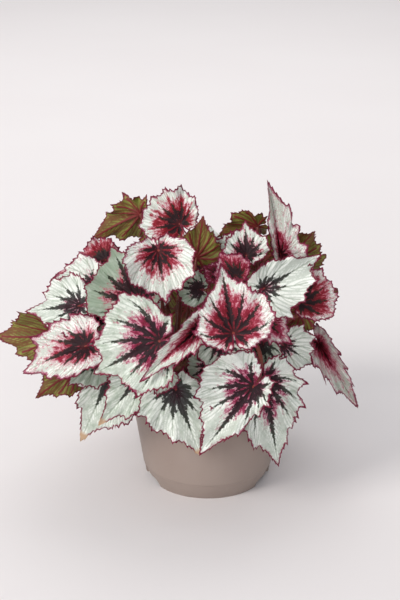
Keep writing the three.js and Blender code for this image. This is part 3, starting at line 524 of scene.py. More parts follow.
# One leaf: its number; hub, where stalk and blade meet, in millimetres from the pot's axis; face,
# the way its upper side looks, in degrees right of the front and above level; tip, the tip's
# direction in the blade, clockwise from straight up; length; point of the tip; broad and skew of
# the side lobes; fold and roll of its left and right half; curl and back, the bends of the tip and
# of the base; wave of its edge. Then its stalk: crown, root on it, rise, lean, reach and slant at
# the blade.
LEAF_ROWS = (
    (1, (-44, -128, 198), (-15, 25), 240, 69, 1, 1, -0.1, (8, 10), (0.3, 0.2), 0.4, -0.3, 0.02,
     2, (3, -45), 25, 0.2, 35, 20),
    (2, (-8, -144, 218), (0, 15), 227, 68, 1, -0.9, -0.2, (45, 52), (0.4, 0.5), 0.2, 0, 0.05,
     2, (18, -48), 70, 0.1, 50, 12),
    (3, (22, -158, 217), (5, 12), 351, 58, 1, 0.7, -0.1, (10, 10), (0.1, 0.3), 0.2, -0.4, 0.02,
     2, (-6, -39), 95, 0.3, 85, 10),
    (4, (-27, -8, 269), (-5, 25), 312, 52, 0.3, 0.7, 0.1, (12, 12), (0.3, 0.3), -0.2, -0.3, 0.07,
     1, (-30, -16), 80, 0.4, 15, 50),
    (5, (-46, -72, 266), (0, 30), 172, 48, 1, 1.6, 0, (15, 15), (0.6, 0.5), 0.1, -0.4, 0.06,
     1, (-42, -29), 85, 0.2, 15, 0),
    (6, (-65, 14, 273), (165, 25), 121, 58, 1, -0.1, -0.25, (5, 5), (0.2, 0.2), 0.3, -0.2, 0.03,
     5, (-34, 32), 100, 0.4, 5, 45),
    (7, (-65, -73, 216), (-8, 20), 330, 56, 0.9, 1.5, 0.05, (10, 10), (0.2, 0.2), -0.2, 0, 0.05,
     1, (-42, -32), 30, 0.3, 35, 40),
    (8, (-99, 6, 228), (-10, 50), 249, 52, 1, -0.3, 0, (30, 10), (0.6, 0.6), 0.5, 0, 0.06,
     5, (-50, 28), 50, 0.4, 25, 30),
    (9, (-109, -27, 216), (-25, 45), 241, 57, 1, 0.4, 0, (5, 5), (0.2, 0.2), 0.3, 0, 0.04,
     1, (-44, -16), 40, 0.5, 95, 0),
    (10, (-121, -61, 206), (-20, 35), 259, 54, 1, 0.4, 0, (8, 8), (0.2, 0.2), 0.3, 0, 0.03,
     1, (-31, -28), 30, 0.3, 30, 50),
    (11, (-147, -9, 157), (-165, 5), 96, 58, 1, 0.7, 0.1, (-10, -10), (-0.4, -0.3), -0.6, 0, 0.03,
     5, (-44, 28), 20, 0.5, 30, 45),
    (12, (-113, -91, 178), (-25, 35), 244, 75, 1, -0.35, 0, (14, 14), (0.4, 0.4), 0.4, 0, 0.07,
     1, (-49, -26), 15, 0.4, 60, 20),
    (13, (-130, -38, 130), (-175, -10), 123, 43, 1, 0.1, 0, (5, 5), (0.1, 0.1), 0.2, 0, 0.03,
     1, (-41, -31), 30, 0.2, 20, 25),
    (14, (-104, -70, 156), (-10, 25), 226, 38, 1, 0.8, 0, (5, 5), (0.2, 0.2), 0.3, 0, 0.03,
     1, (-43, -22), 30, 0.3, 25, 50),
    (15, (-92, -60, 137), (-12, 8), 204, 76, 1, -0.2, 0.3, (10, 10), (0.1, 0.1), 0.2, 0, 0.02,
     1, (-48, -9), 15, 0, 40, 10),
    (16, (-63, -94, 148), (-5, 12), 219, 57, 1, -0.1, 0.1, (10, 10), (0.1, 0.1), 0.2, 0, 0.02,
     1, (-49, -26), 15, 0.3, 25, 25),
    (17, (-42, -107, 158), (0, 15), 193, 24, 1, 0.9, 0, (5, 5), (0.1, 0.2), 0.3, 0, 0.02,
     1, (-46, -23), 20, 0.4, 20, 0),
    (18, (-30, -103, 139), (-3, 8), 161, 66, 1, 0, -0.2, (10, 10), (0.1, 0.2), 0.1, 0, 0.02,
     2, (0, -42), 15, 0.3, 15, 30),
    (19, (42, -119, 149), (-8, 8), 215, 78, 1, -0.35, -0.45, (10, 10), (0.1, 0.1), 0.1, -0.3, 0.02,
     2, (5, -39), 95, 0.1, 45, 65),
    (20, (52, -89, 142), (12, 5), 170, 89, 1, -0.35, -0.15, (12, 12), (0.1, 0.2), 0.1, 0, 0.02,
     2, (25, -42), 10, 0.4, 15, 5),
    (21, (72, -59, 165), (25, 10), 128, 38, 1, 1, 0, (10, 10), (0.1, 0.2), 0.2, 0, 0.05,
     3, (46, -8), 25, 0.5, 10, 0),
    (22, (54, -84, 199), (20, 20), 137, 32, 1, 0.3, 0, (20, 20), (0.1, 0.2), 0.2, 0, 0.04,
     2, (15, -43), 45, 0.2, 15, 5),
    (23, (52, -73, 172), (0, 5), 196, 29, 1, 0.9, 0, (5, 5), (0.1, 0.2), 0.2, 0, 0.02,
     2, (24, -37), 30, 0.5, 15, 20),
    (24, (86, -62, 210), (15, 12), 40, 45, 0.5, 1.3, 0, (10, 10), (0.3, 0.3), 0.2, -0.5, 0.06,
     2, (-4, -43), 100, 0.2, 15, 45),
    (25, (51, -79, 230), (10, 22), 64, 62, 1, -0.2, -0.2, (22, 12), (0.5, 0.3), 0.2, 0, 0.05,
     2, (25, -39), 70, 0.4, 5, 15),
    (26, (76, 12, 222), (175, 10), 325, 46, 1, 1.2, 0, (5, 5), (0.1, 0.1), 0.2, 0, 0.05,
     3, (29, 11), 90, 0.3, 5, 45),
    (27, (70, -8, 238), (12, 10), 352, 84, 0.5, -1.2, -0.35, (52, 50), (0.2, 0.2), 0.2, 0, 0.07,
     3, (28, 0), 105, 0.2, 30, 0),
    (28, (36, -48, 251), (0, 20), 358, 31, 1, 1.2, 0, (10, 10), (0.3, 0.3), 0.1, -0.4, 0.05,
     2, (19, -41), 45, 0.5, 30, 50),
    (29, (48, 6, 263), (178, 40), 108, 40, 1, 0.6, 0, (5, 5), (0.3, 0.3), 0.3, 0, 0.03,
     3, (48, 0), 85, 0.4, 5, 5),
    (30, (29, -15, 247), (-10, 30), 286, 24, 1, 0.7, 0, (5, 5), (0.2, 0.2), 0.3, 0, 0.03,
     3, (39, 0), 70, 0.4, 15, 35),
    (31, (-11, -19, 240), (178, 10), 351, 40, 1, 0.5, 0, (-10, -10), (0.2, 0.2), -0.2, 0, 0.03,
     2, (-7, -37), 35, 0.4, 40, 50),
    (32, (-11, -15, 224), (0, 22), 282, 32, 1, 1.2, 0, (10, 10), (0.2, 0.2), 0.2, -0.4, 0.03,
     1, (-24, -16), 65, 0.2, 5, 10),
    (33, (26, -64, 236), (-5, 22), 324, 28, 1, 0.9, 0, (10, 10), (0.2, 0.2), 0.2, -0.3, 0.05,
     2, (14, -41), 55, 0.4, 20, 45),
    (34, (9, -50, 233), (0, 20), 301, 16, 1, 0.9, 0, (10, 10), (0.2, 0.2), 0.2, 0, 0.03,
     2, (13, -40), 65, 0.1, 10, 45),
    (35, (-7, -50, 218), (0, 20), 276, 28, 1, 0.9, 0, (10, 10), (0.2, 0.2), 0.2, 0, 0.03,
     2, (-4, -40), 60, 0.5, 5, 45),
    (36, (108, -20, 151), (5, 5), 150, 84, 1, -1, 0, (58, 56), (0.5, 0.6), 0.35, -0.3, 0.09,
     3, (55, 1), 15, 0.5, 15, 0),
    (37, (4, -88, 156), (-5, 10), 241, 30, 1, 1.1, 0, (8, 8), (0.2, 0.2), 0.2, 0, 0.03,
     2, (5, -45), 10, 0.5, 5, 20),
    (38, (35, -64, 162), (5, 5), 241, 35, 1, 0.9, 0, (8, 8), (0.2, 0.2), 0.2, 0, 0.03,
     2, (18, -48), 30, 0.4, 5, 25),
    (39, (-96, -39, 189), (-10, 20), 263, 33, 1, 0.9, 0, (8, 8), (0.2, 0.2), 0.2, 0, 0.03,
     1, (-50, -22), 20, 0.5, 5, 30),
    (40, (-100, 52, 192), (-122, 38), 165, 75, 1, 0.6, 0.05, (8, 8), (0.2, 0.2), 0.4, -0.2, 0.03,
     5, (-42, 35), 30, 0.3, 30, 5),
    (41, (-52, 97, 177), (-162, 25), 190, 66, 1, 0.6, 0.05, (8, 8), (0.2, 0.2), 0.4, -0.2, 0.03,
     5, (-34, 31), 25, 0.5, 15, 0),
    (42, (2, 74, 201), (175, 35), 175, 76, 1, 0.6, 0.05, (8, 8), (0.2, 0.2), 0.4, -0.2, 0.03,
     4, (2, 49), 50, 0.4, 5, 25),
    (43, (55, 89, 187), (150, 30), 190, 76, 1, 0.6, 0.05, (8, 8), (0.2, 0.2), 0.4, -0.2, 0.03,
     4, (25, 43), 20, 0.1, 10, 0),
    (44, (84, 28, 196), (120, 60), 170, 68, 1, 0.6, 0.05, (8, 8), (0.2, 0.2), 0.4, -0.2, 0.03,
     3, (47, 8), 20, 0.4, 25, 0),
    (45, (-86, 120, 131), (-140, 12), 185, 66, 1, 0.4, 0.05, (8, 8), (0.2, 0.2), 0.3, -0.2, 0.03,
     5, (-34, 33), 20, 0.3, 40, 25),
    (46, (-20, 130, 131), (-175, 10), 175, 70, 1, 0.4, 0.05, (8, 8), (0.2, 0.2), 0.3, -0.2, 0.03,
     4, (6, 41), 15, 0.5, 15, 40),
    (47, (45, 124, 127), (160, 10), 185, 66, 1, 0.4, 0.05, (8, 8), (0.2, 0.2), 0.3, -0.2, 0.03,
     4, (17, 45), 20, 0.4, 30, 15),
    (48, (-28, 32, 232), (-170, 65), 180, 58, 1, 0.8, 0.05, (8, 8), (0.2, 0.2), 0.4, -0.2, 0.03,
     5, (-32, 18), 40, 0.2, 30, 0),
    (49, (32, 30, 236), (160, 65), 180, 58, 1, 0.8, 0.05, (8, 8), (0.2, 0.2), 0.4, -0.2, 0.03,
     3, (36, 2), 40, 0.1, 35, 10),
    (50, (-62, -8, 200), (-20, 60), 185, 48, 1, 0.7, 0.1, (6, 10), (0.2, 0.2), 0.5, -0.2, 0.04,
     1, (-54, -18), 40, 0.3, 5, 0),
    (51, (62, -7, 204), (28, 64), 165, 46, 1, 0.6, -0.05, (8, 6), (0.2, 0.2), 0.4, -0.2, 0.04,
     3, (53, 8), 30, 0.5, 25, 0),
    (52, (12, -79, 177), (10, 55), 190, 46, 1, 0.6, 0.1, (10, 10), (0.3, 0.2), 0.3, -0.2, 0.04,
     2, (10, -47), 25, 0.1, 20, 50),
    (53, (88, -48, 193), (165, 5), 140, 34, 1, 0.4, 0, (10, 10), (0.3, 0.3), 0.3, -0.3, 0.05,
     2, (22, -31), 50, 0.5, 10, 30),
)
LEAF_WORDS = ("number hub face tip length point broad skew fold roll curl back wave "
              "crown root rise lean reach slant").split()
LEAVES = [dict(zip(LEAF_WORDS, row)) for row in LEAF_ROWS]


def leaf_name(leaf):
    return f"leaf_{leaf['number']:02d}"


def blade_frame(leaf):
    """The blade's own axes: towards its tip, to its left, and out of its face."""
    azimuth, elevation = (math.radians(value) for value in leaf["face"])
    tip = math.radians(leaf["tip"])
    level, rise = math.cos(elevation), math.sin(elevation)
    out = np.array([math.sin(azimuth) * level, -math.cos(azimuth) * level, rise])
    up = np.array([-math.sin(azimuth) * rise, math.cos(azimuth) * rise, level])
    along = math.cos(tip) * up + math.sin(tip) * np.cross(up, out)
    return along, np.cross(out, along), out


def stalk_line(leaf):
    """Points up the stalk, from inside the creeping stem to the back of the blade."""
    along, _, out = blade_frame(leaf)
    slant = math.radians(leaf["slant"])
    away = -math.cos(slant) * out - math.sin(slant) * along
    top = np.array(leaf["hub"], float) - out * BLADE_UNDER
    bottom = np.array([*leaf["root"], SOIL_LEVEL + STALK_ROOT], float)
    lower = bottom + np.array([*(leaf["lean"] * (top - bottom)[:2]), leaf["rise"]])
    upper = top + away * leaf["reach"]
    t = np.linspace(0, 1, STALK_POINTS)[:, None]
    return ((1 - t) ** 3 * bottom + 3 * t * (1 - t) ** 2 * lower + 3 * t ** 2 * (1 - t) * upper
            + t ** 3 * top)


def stalk_thickness(leaf):
    """Its radii: more under a long blade and at its foot, less at the neck under the blade."""
    t = np.linspace(0, 1, STALK_POINTS)
    radius = STALK_RADIUS + leaf["length"] / BLADE_PER_RADIUS
    neck = np.where(t > NECK_FROM, 1 - NECK_SLOPE * (t - NECK_FROM), 1)
    return radius * (1 + 0.25 * (1 - t) ** 3) * neck


def lines_mesh(name, lines, values):
    """Loose edges along several lines of points, with one value at each point."""
    corners, edges, marks = [], [], []
    for line, row in zip(lines, values):
        first = len(corners)
        corners += [tuple(point) for point in (line * MM + AXIS)]
        edges += [(first + i, first + i + 1) for i in range(len(line) - 1)]
        marks += list(row * MM)
    mesh = bpy.data.meshes.new(name)
    mesh.from_pydata(corners, edges, [])
    mesh.attributes.new("thickness", "FLOAT", "POINT").data.foreach_set("value", marks)
    return mesh


def creeping_stem(index):
    """A flat knobbly body, rough with the scars of old leaves."""
    x, y = CROWNS[index]
    stem = bmesh.new()
    bmesh.ops.create_icosphere(stem, subdivisions=5, radius=0.5)
    for corner in stem.verts:
        spot = corner.co.copy()
        knobs = noise.fractal(spot * 5 + Vector((index * 7, 0, 0)), 0.7, 2.0, 4)
        rings = math.sin(34 * spot.x + 9 * noise.noise(spot * 4))
        swell = 0.9 + 0.13 * knobs + 0.012 * rings
        corner.co = Vector((spot.x * CROWN_WIDTH, spot.y * CROWN_WIDTH, spot.z * CROWN_HEIGHT))
        corner.co *= swell
        corner.co += Vector((x, y, CROWN_FLOOR + CROWN_HEIGHT / 2))
        corner.co = corner.co * MM + Vector(AXIS)
    return as_mesh("stem", stem)


def scale_leaves(leaves):
    """Papery pointed scales, a pair round each stalk's foot, as closed thin shells."""
    rng = random.Random(SCALE_SEED)
    corners, faces = [], []
    for leaf in leaves:
        line = stalk_line(leaf)
        base = line[4]
        rise = line[8] - line[4]
        rise /= np.linalg.norm(rise)
        for half in (0, 1):
            turn = rng.uniform(0, math.pi) + half * math.pi
            side_way = np.cross(rise, [math.cos(turn), math.sin(turn), 0.2])
            side_way /= np.linalg.norm(side_way)
            out_way = np.cross(side_way, rise)
            size = rng.uniform(*SCALE_LENGTHS)
            first = len(corners)
            for depth in (0, SCALE_THICKNESS):
                for i in range(SCALE_ROWS):
                    t = i / (SCALE_ROWS - 1)
                    width = size * 0.26 * math.sin(math.pi * min(0.95, 0.25 + 0.72 * t))
                    middle = base + rise * size * t + out_way * (1.9 + depth + 2.4 * t * t)
                    for s in (-1, 0, 1):
                        point = middle + side_way * s * width - out_way * 0.4 * abs(s)
                        corners.append(tuple(point * MM + AXIS))
            layer = 3 * SCALE_ROWS
            for i in range(SCALE_ROWS - 1):
                for s in (0, 1):
                    a, b = first + 3 * i + s, first + 3 * i + s + 1
                    faces.append((a, b, b + 3, a + 3))
                    faces.append((a + layer, a + layer + 3, b + layer + 3, b + layer))
                for a, way in ((first + 3 * i, 1), (first + 3 * i + 2, -1)):
                    faces.append((a, a + 3, a + layer + 3, a + layer)[::way])
            for row, way in ((first, 1), (first + layer - 3, -1)):
                for a in (row, row + 1):
                    faces.append((a, a + layer, a + layer + 1, a + 1)[::way])
    mesh = bpy.data.meshes.new("scales")
    mesh.from_pydata(corners, [], faces)
    return mesh


flesh, w, surface = new_material("stalk_flesh", 0.42, Specular_IOR_Level=0.45,
                                 Subsurface_Weight=0.08, Subsurface_Scale=0.002)
place = w.place()
patches = w.noise(place, 60, 3)
drawn_out = w.node("ShaderNodeVectorMath", operation="MULTIPLY")
w.feed(drawn_out.inputs[0], place)
drawn_out.inputs[1].default_value = STREAK_SCALE
streaks = w.noise(drawn_out.outputs[0], 1, 3)
height = w.node("ShaderNodeSeparateXYZ")
w.feed(height.inputs[0], place)
tone = w.lay(srgb(112, 48, 40), srgb(142, 68, 54), patches, 0.35, 0.65)
tone = w.lay(tone, srgb(92, 30, 28), streaks, 0.45, 0.7, 0.55)
tone = w.lay(tone, srgb(112, 74, 50), height.outputs[2], 0.15, 0.123)
w.paint(surface, tone, w.plus(w.times(patches, 0.2), 0.36), w.bump(streaks, 0.25, 0.0004))

down, w, surface = new_material("stalk_hair", 0.6, Specular_IOR_Level=0.5)
change = w.noise(w.place(), 300, 2)
w.paint(surface, w.lay(srgb(206, 150, 136), srgb(232, 208, 198), change, 0.4, 0.6))

paper, w, surface = new_material("scale_paper", 0.6, Specular_IOR_Level=0.3)
fibre = w.noise(w.place(), 700, 4, 0.7)
w.paint(surface, w.lay(srgb(128, 72, 58), srgb(186, 128, 108), fibre, 0.35, 0.7),
        normal=w.bump(fibre, 0.5, 0.0003))

tubes = Growing("stalk_tubes", Sides="Int", Material="Material")
given = tubes.start.outputs
wire = tubes.into("GeometryNodeMeshToCurve", {0: given[0]})
thick = tubes.into("GeometryNodeInputNamedAttribute", {"Name": "thickness"}, data_type="FLOAT")
round_end = tubes.into("GeometryNodeCurvePrimitiveCircle", {"Resolution": given["Sides"],
                                                            "Radius": 1.0})
tube = tubes.into("GeometryNodeCurveToMesh", {
    "Curve": wire.outputs[0], "Profile Curve": round_end.outputs[0], "Scale": thick.outputs[0],
    "Fill Caps": True})
smooth = tubes.into("GeometryNodeSetShadeSmooth", {0: tube.outputs[0]})
tubes.close(smooth.outputs[0])

coat = Growing("stalk_hairs", **STREWN)
spots = coat.spots()
lean = coat.into("ShaderNodeVectorMath", {0: spots["Normal"], 1: coat.jitter(-0.6, 0.6)},
                 operation="ADD")
aim = coat.into("FunctionNodeAlignRotationToVector", {"Vector": lean.outputs[0]}, axis="Z")
coat.strew(spots, aim.outputs[0], 0.4)


def one_hair():
    """A three-sided spike of unit length."""
    spike = bmesh.new()
    bmesh.ops.create_cone(spike, cap_ends=True, segments=3, radius1=HAIR_WIDTH / HAIR_LENGTH / 2,
                          radius2=0.004, depth=1, matrix=Matrix.Translation((0, 0, 0.48)))
    return new_object("hair_model", as_mesh("hair_model", spike), [down])


def as_one(name, pieces):
    """Several objects joined into the first, under a new name."""
    with bpy.context.temp_override(active_object=pieces[0], object=pieces[0],
                                   selected_objects=pieces, selected_editable_objects=pieces):
        bpy.ops.object.join()
    pieces[0].name = name
    pieces[0].data.name = name
    return pieces[0]


hair_model = one_hair()
for index in range(len(CROWNS)):
    carried = [leaf for leaf in LEAVES if leaf["crown"] == index + 1]
    stalks = new_object("worker", lines_mesh("stalks", [stalk_line(leaf) for leaf in carried],
                                             [stalk_thickness(leaf) for leaf in carried]))
    tubes.use(stalks, Sides=STALK_SIDES, Material=flesh)
    stalks = settled(stalks, "stalks")
    stem = new_object("stem", creeping_stem(index), [flesh])
    stem.data.shade_smooth()
    stalks = as_one("stalks", [stalks, stem])
    fuzz = new_object("fuzz_worker", stalks.data.copy())
    coat.use(fuzz, Model=hair_model, Density=float(HAIRS_PER_SQUARE_METRE),
             Size=HAIR_LENGTH * MM, Material=down, Seed=index + 3)
    fuzz = settled(fuzz, "fuzz")
    scales = new_object("scales", scale_leaves(carried), [paper])
    grown = as_one(f"crown_{index + 1}_stalks", [stalks, fuzz, scales])
    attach(grown, "root")
    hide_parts(f"crown_{index + 1}")
bpy.data.objects.remove(hair_model)

# ---------------------------------------------------------------------------------------------
# BLADES. Thin lopsided heart-shaped leaves, toothed at the edge and puckered between sunken veins.
# The upper side is silver with dark bands along the veins and red or pink between them, the under
# side olive with raised maroon veins.
# ---------------------------------------------------------------------------------------------
BLADE_SPREAD = math.radians(173)
TIP_ANGLE = math.radians(15)
WAVE_TURN = 2.4
MAIN_VEINS = tuple(math.radians(a) for a in (-130, -92, -57, -27, 0, 27, 57, 92, 130))
BRANCH_STEP = 8.0
BRANCH_ANGLE = math.radians(36)
GRID_STEP = 1.35
SHEET = 0.45
RIB = 1.5
TWIG = 0.35
PLEAT = 1.6
PLEAT_WIDTH = 5.5
PUCKER = 0.95
PUCKER_WIDTH = 2.0
GROOVE = 0.6
GROOVE_WIDTH = 1.1
RUFFLE = 0.048
RUFFLES = ((6, 2.5, 1), (11, 4, 0.8), (19, 6, 0.5), (33, 8, 0.3))
EDGE_SWAYS = (5, 8, 13)
VEIN_LOBES = (0.03, 0.10)
TOOTH_STEP = 5.5
TOOTH_WIDTHS = (0.6, 1.35)
TOOTH_HEIGHTS = (0.15, 0.62)
TOOTH_FORM = ((0, -0.1), (0.3, 0.28), (0.62, 1.0), (0.8, 0.3))
USUAL_LENGTH = 70
DRY_FROM = 0.94
DRY_OVER = 0.05
BLADE_SEED = 500

# What each upper side looks like: how far the red zone and the dark bands reach, as a share of the
# way to the edge; how wide the bands are; how warm its red is, how pale its silver, how much pink
# is sprinkled over it, and how far its tip has dried. The pale value is partly painted shade: it is
# set low on leaves that sit in the shade inside the plant, to darken their silver to grey green.
LOOK_WORDS = "red dark band warm pale flush dry".split()
LOOKS = {
    1: (0.52, 0.82, 0.72, 0.2, 0.55, 0.55, 0), 2: (0.56, 0.40, 0.6, 0.6, 0.75, 0.7, 0),
    3: (0.68, 0.88, 0.62, 0.7, 0.85, 0.8, 0), 4: (0.66, 0.62, 0.72, 0.95, 0.8, 0.6, 0),
    5: (0.52, 0.55, 0.8, 0.8, 0.9, 0.75, 0), 6: (0.5, 0.5, 0.8, 0.6, 0.4, 0.5, 0),
    7: (0.52, 0.80, 1.1, 0.75, 0.15, 0.35, 0), 8: (0.85, 0.6, 1.0, 0.9, 0.6, 0.8, 0),
    9: (0.25, 0.45, 0.7, 0.2, 0.8, 0.7, 0), 10: (0.24, 0.68, 0.8, 0.1, 0.75, 0.5, 0),
    11: (0.6, 0.5, 0.8, 0.6, 0.5, 0.5, 0), 12: (0.52, 0.6, 0.7, 0.7, 1.0, 0.9, 0),
    13: (0.3, 0.5, 0.8, 0.3, 0.4, 0.3, 0), 14: (0.1, 0.6, 0.9, 0.1, 0.4, 0.2, 0),
    15: (0.1, 0.5, 0.8, 0.1, 0.7, 0.25, 1), 16: (0.25, 0.55, 0.8, 0.1, 0.6, 0.35, 1),
    17: (0.2, 0.4, 0.8, 0.1, 0.6, 0.3, 0), 18: (0.14, 0.62, 1.0, 0.1, 0.7, 0.25, 1),
    19: (0.46, 0.76, 0.6, 0.1, 0.8, 0.45, 0), 20: (0.46, 0.78, 0.6, 0.1, 0.75, 0.45, 0),
    21: (0.25, 0.5, 0.8, 0.3, 0.85, 0.4, 0), 22: (0.7, 0.5, 0.8, 0.4, 0.8, 0.95, 0),
    23: (0.15, 0.8, 1.2, 0.3, 0.35, 0.1, 0), 24: (0.80, 0.74, 0.9, 0.9, 0.7, 0.8, 0),
    25: (0.12, 0.5, 0.7, 0.3, 0.95, 0.25, 0), 26: (0.5, 0.5, 0.8, 0.6, 0.5, 0.5, 0),
    27: (0.42, 0.3, 0.3, 0.6, 0.95, 0.85, 0), 28: (0.55, 0.76, 1.3, 0.6, 0.9, 0.55, 0),
    29: (0.5, 0.5, 0.8, 0.6, 0.5, 0.5, 0), 30: (0.2, 0.3, 0.6, 0.4, 0.9, 0.4, 0),
    31: (0.4, 0.5, 0.8, 0.6, 0.4, 0.4, 0), 32: (0.7, 0.7, 1.2, 0.7, 0.3, 0.5, 0),
    33: (0.85, 0.7, 1.0, 0.6, 0.7, 0.9, 0), 34: (0.9, 0.6, 0.8, 0.3, 0.7, 0.9, 0),
    35: (0.4, 0.7, 1.2, 0.2, 0.3, 0.3, 0), 36: (0.44, 0.3, 0.4, 0.6, 0.7, 0.95, 0),
    37: (0.5, 0.7, 1.2, 0.1, 0.35, 0.4, 0), 38: (0.2, 0.7, 1.2, 0.2, 0.4, 0.2, 0),
    39: (0.45, 0.7, 1.2, 0.2, 0.35, 0.4, 0),
    40: (0.45, 0.7, 1.0, 0.2, 0.7, 0.5, 0), 41: (0.30, 0.65, 0.9, 0.1, 0.8, 0.4, 0),
    42: (0.60, 0.7, 1.0, 0.6, 0.8, 0.6, 0), 43: (0.35, 0.68, 1.0, 0.1, 0.7, 0.4, 0),
    44: (0.55, 0.7, 0.9, 0.8, 0.8, 0.6, 0), 45: (0.20, 0.6, 0.9, 0.1, 0.6, 0.3, 1),
    46: (0.30, 0.66, 0.9, 0.1, 0.8, 0.35, 0), 47: (0.20, 0.6, 0.9, 0.1, 0.7, 0.3, 0),
    48: (0.60, 0.7, 1.0, 0.4, 0.8, 0.6, 0), 49: (0.55, 0.66, 1.0, 0.8, 0.8, 0.5, 0),
    50: (0.30, 0.7, 1.0, 0.2, 0.7, 0.4, 0), 51: (0.35, 0.7, 1.0, 0.5, 0.7, 0.5, 0),
    52: (0.40, 0.7, 1.0, 0.3, 0.5, 0.4, 0), 53: (0.5, 0.5, 0.8, 0.6, 0.5, 0.5, 0),
}


def reach(angle, leaf):
    """How far the flat blade reaches from its hub at an angle from the tip, in millimetres."""
    a = np.abs(angle)
    heart = 0.18 + 0.38 * np.cos(a / 2)
    tip = 0.44 * leaf["point"] * np.exp(-a / TIP_ANGLE)
    lobes = 0.2 * leaf["broad"] * np.sin(np.minimum(1.5 * a, np.pi))
    return leaf["length"] * (heart + tip + lobes) * (1 + leaf["skew"] * np.sin(angle))


def polar(radius, angle):
    return np.stack([radius * np.cos(angle), radius * np.sin(angle)], -1)


def vein_angle(main, share):
    """The veins bend a little towards the tip, and the lowest ones round the lobes."""
    turn = 0.10 if abs(main) > math.radians(110) else -0.16
    return main * (1 + turn * share ** 2)


def toothed_edge(leaf, rng):
    """The blade's outline from its right lobe round the tip to its left, with teeth."""
    angle = np.linspace(-BLADE_SPREAD, BLADE_SPREAD, 3000)
    radius = reach(angle, leaf)
    for main in MAIN_VEINS:
        lobe = rng.uniform(*VEIN_LOBES) * leaf["length"]
        radius = radius + lobe * np.exp(-((angle - vein_angle(main, 1)) / 0.09) ** 2)
    for turns in EDGE_SWAYS:
        sway = 0.05 / turns ** 0.5 * np.sin(turns * angle + rng.uniform(0, 6.3))
        radius = radius * (1 + sway * np.abs(np.sin(angle)))
    line = polar(radius, angle)
    run = np.concatenate([[0], np.cumsum(np.linalg.norm(np.diff(line, axis=0), axis=1))])
    middle = run[len(run) // 2]
    size = min(1.25, max(0.7, leaf["length"] / USUAL_LENGTH))
    stops, rises = [], []
    for start, end, way in ((0, middle, 1), (run[-1], middle, -1)):
        at = start
        while (end - at) * way > 0.8 * TOOTH_STEP * size:
            width = TOOTH_STEP * size * rng.uniform(*TOOTH_WIDTHS)
            height = width * rng.uniform(*TOOTH_HEIGHTS)
            for share, rise in TOOTH_FORM:
                stops.append(at + way * share * width)
                rises.append(rise * height)
            at += way * width
    stops.append(middle)
    rises.append(0.02 * leaf["length"])
    order = np.argsort(stops)
    stops, rises = np.array(stops)[order], np.array(rises)[order]
    stops = np.clip(stops, 0, run[-1])
    angles = np.interp(stops, run, angle)
    return np.interp(stops, run, radius) + rises, angles


def vein_lines(leaf, edge_radius, edge_angle):
    """The main veins from the hub to the edge, and their branches, as lines in the flat blade."""
    limit = lambda a: np.interp(a, edge_angle, edge_radius)
    mains, branches = [], []
    between = [(a + b) / 2 for a, b in zip(MAIN_VEINS, MAIN_VEINS[1:])]
    bounds = [-BLADE_SPREAD, *between, BLADE_SPREAD]
    for k, main in enumerate(MAIN_VEINS):
        full = float(reach(vein_angle(main, 0.95), leaf))
        count = max(6, int(full / 1.3))
        share = np.linspace(0, 0.965, count)
        angle = vein_angle(main, share)
        mains.append(polar(share * np.minimum(full, limit(angle)), angle))
        for side_way, bound in ((-1, bounds[k]), (1, bounds[k + 1])):
            gap = 0.93 * abs(bound - main)
            count = max(2, round(full / BRANCH_STEP * (1.0 if main == 0 else 0.62)))
            for i in range(count):
                begin = full * (0.13 + 0.74 * (i + (0.25 if side_way > 0 else 0.6)) / count)
                a = vein_angle(main, begin / full)
                start = polar(begin, a)
                turn = a + side_way * BRANCH_ANGLE
                end_angle = vein_angle(main, 1) + side_way * gap * (1 - (i + 0.45) / count)
                end = polar(0.97 * limit(end_angle) - 0.6, end_angle)
                length = np.linalg.norm(end - start)
                if length < 3 or np.dot(end - start, start) < 0:
                    continue
                bend = start + 0.45 * length * polar(1.0, turn)
                u = np.linspace(0, 1, max(3, int(length / 1.2)))[:, None]
                line = (1 - u) ** 2 * start + 2 * u * (1 - u) * bend + u ** 2 * end
                r, a = np.hypot(line[:, 0], line[:, 1]), np.arctan2(line[:, 1], line[:, 0])
                within = (r < limit(a) - 0.9) & (np.abs(a) < BLADE_SPREAD - 0.02)
                keep = np.cumprod(within).astype(bool)
                if keep.sum() > 2:
                    branches.append(line[keep])
    return mains, branches


def away_from(points, lines):
    """Each point's distance to the nearest of several lines."""
    best = np.full(len(points), 1e9)
    a = np.concatenate([line[:-1] for line in lines])
    d = np.concatenate([np.diff(line, axis=0) for line in lines])
    squared = np.maximum((d ** 2).sum(1), 1e-9)
    for first in range(0, len(points), 1500):
        p = points[first:first + 1500, None, :] - a
        t = np.clip((p * d).sum(2) / squared, 0, 1)
        gap = p - t[..., None] * d
        best[first:first + 1500] = np.sqrt((gap ** 2).sum(2).min(1))
    return best


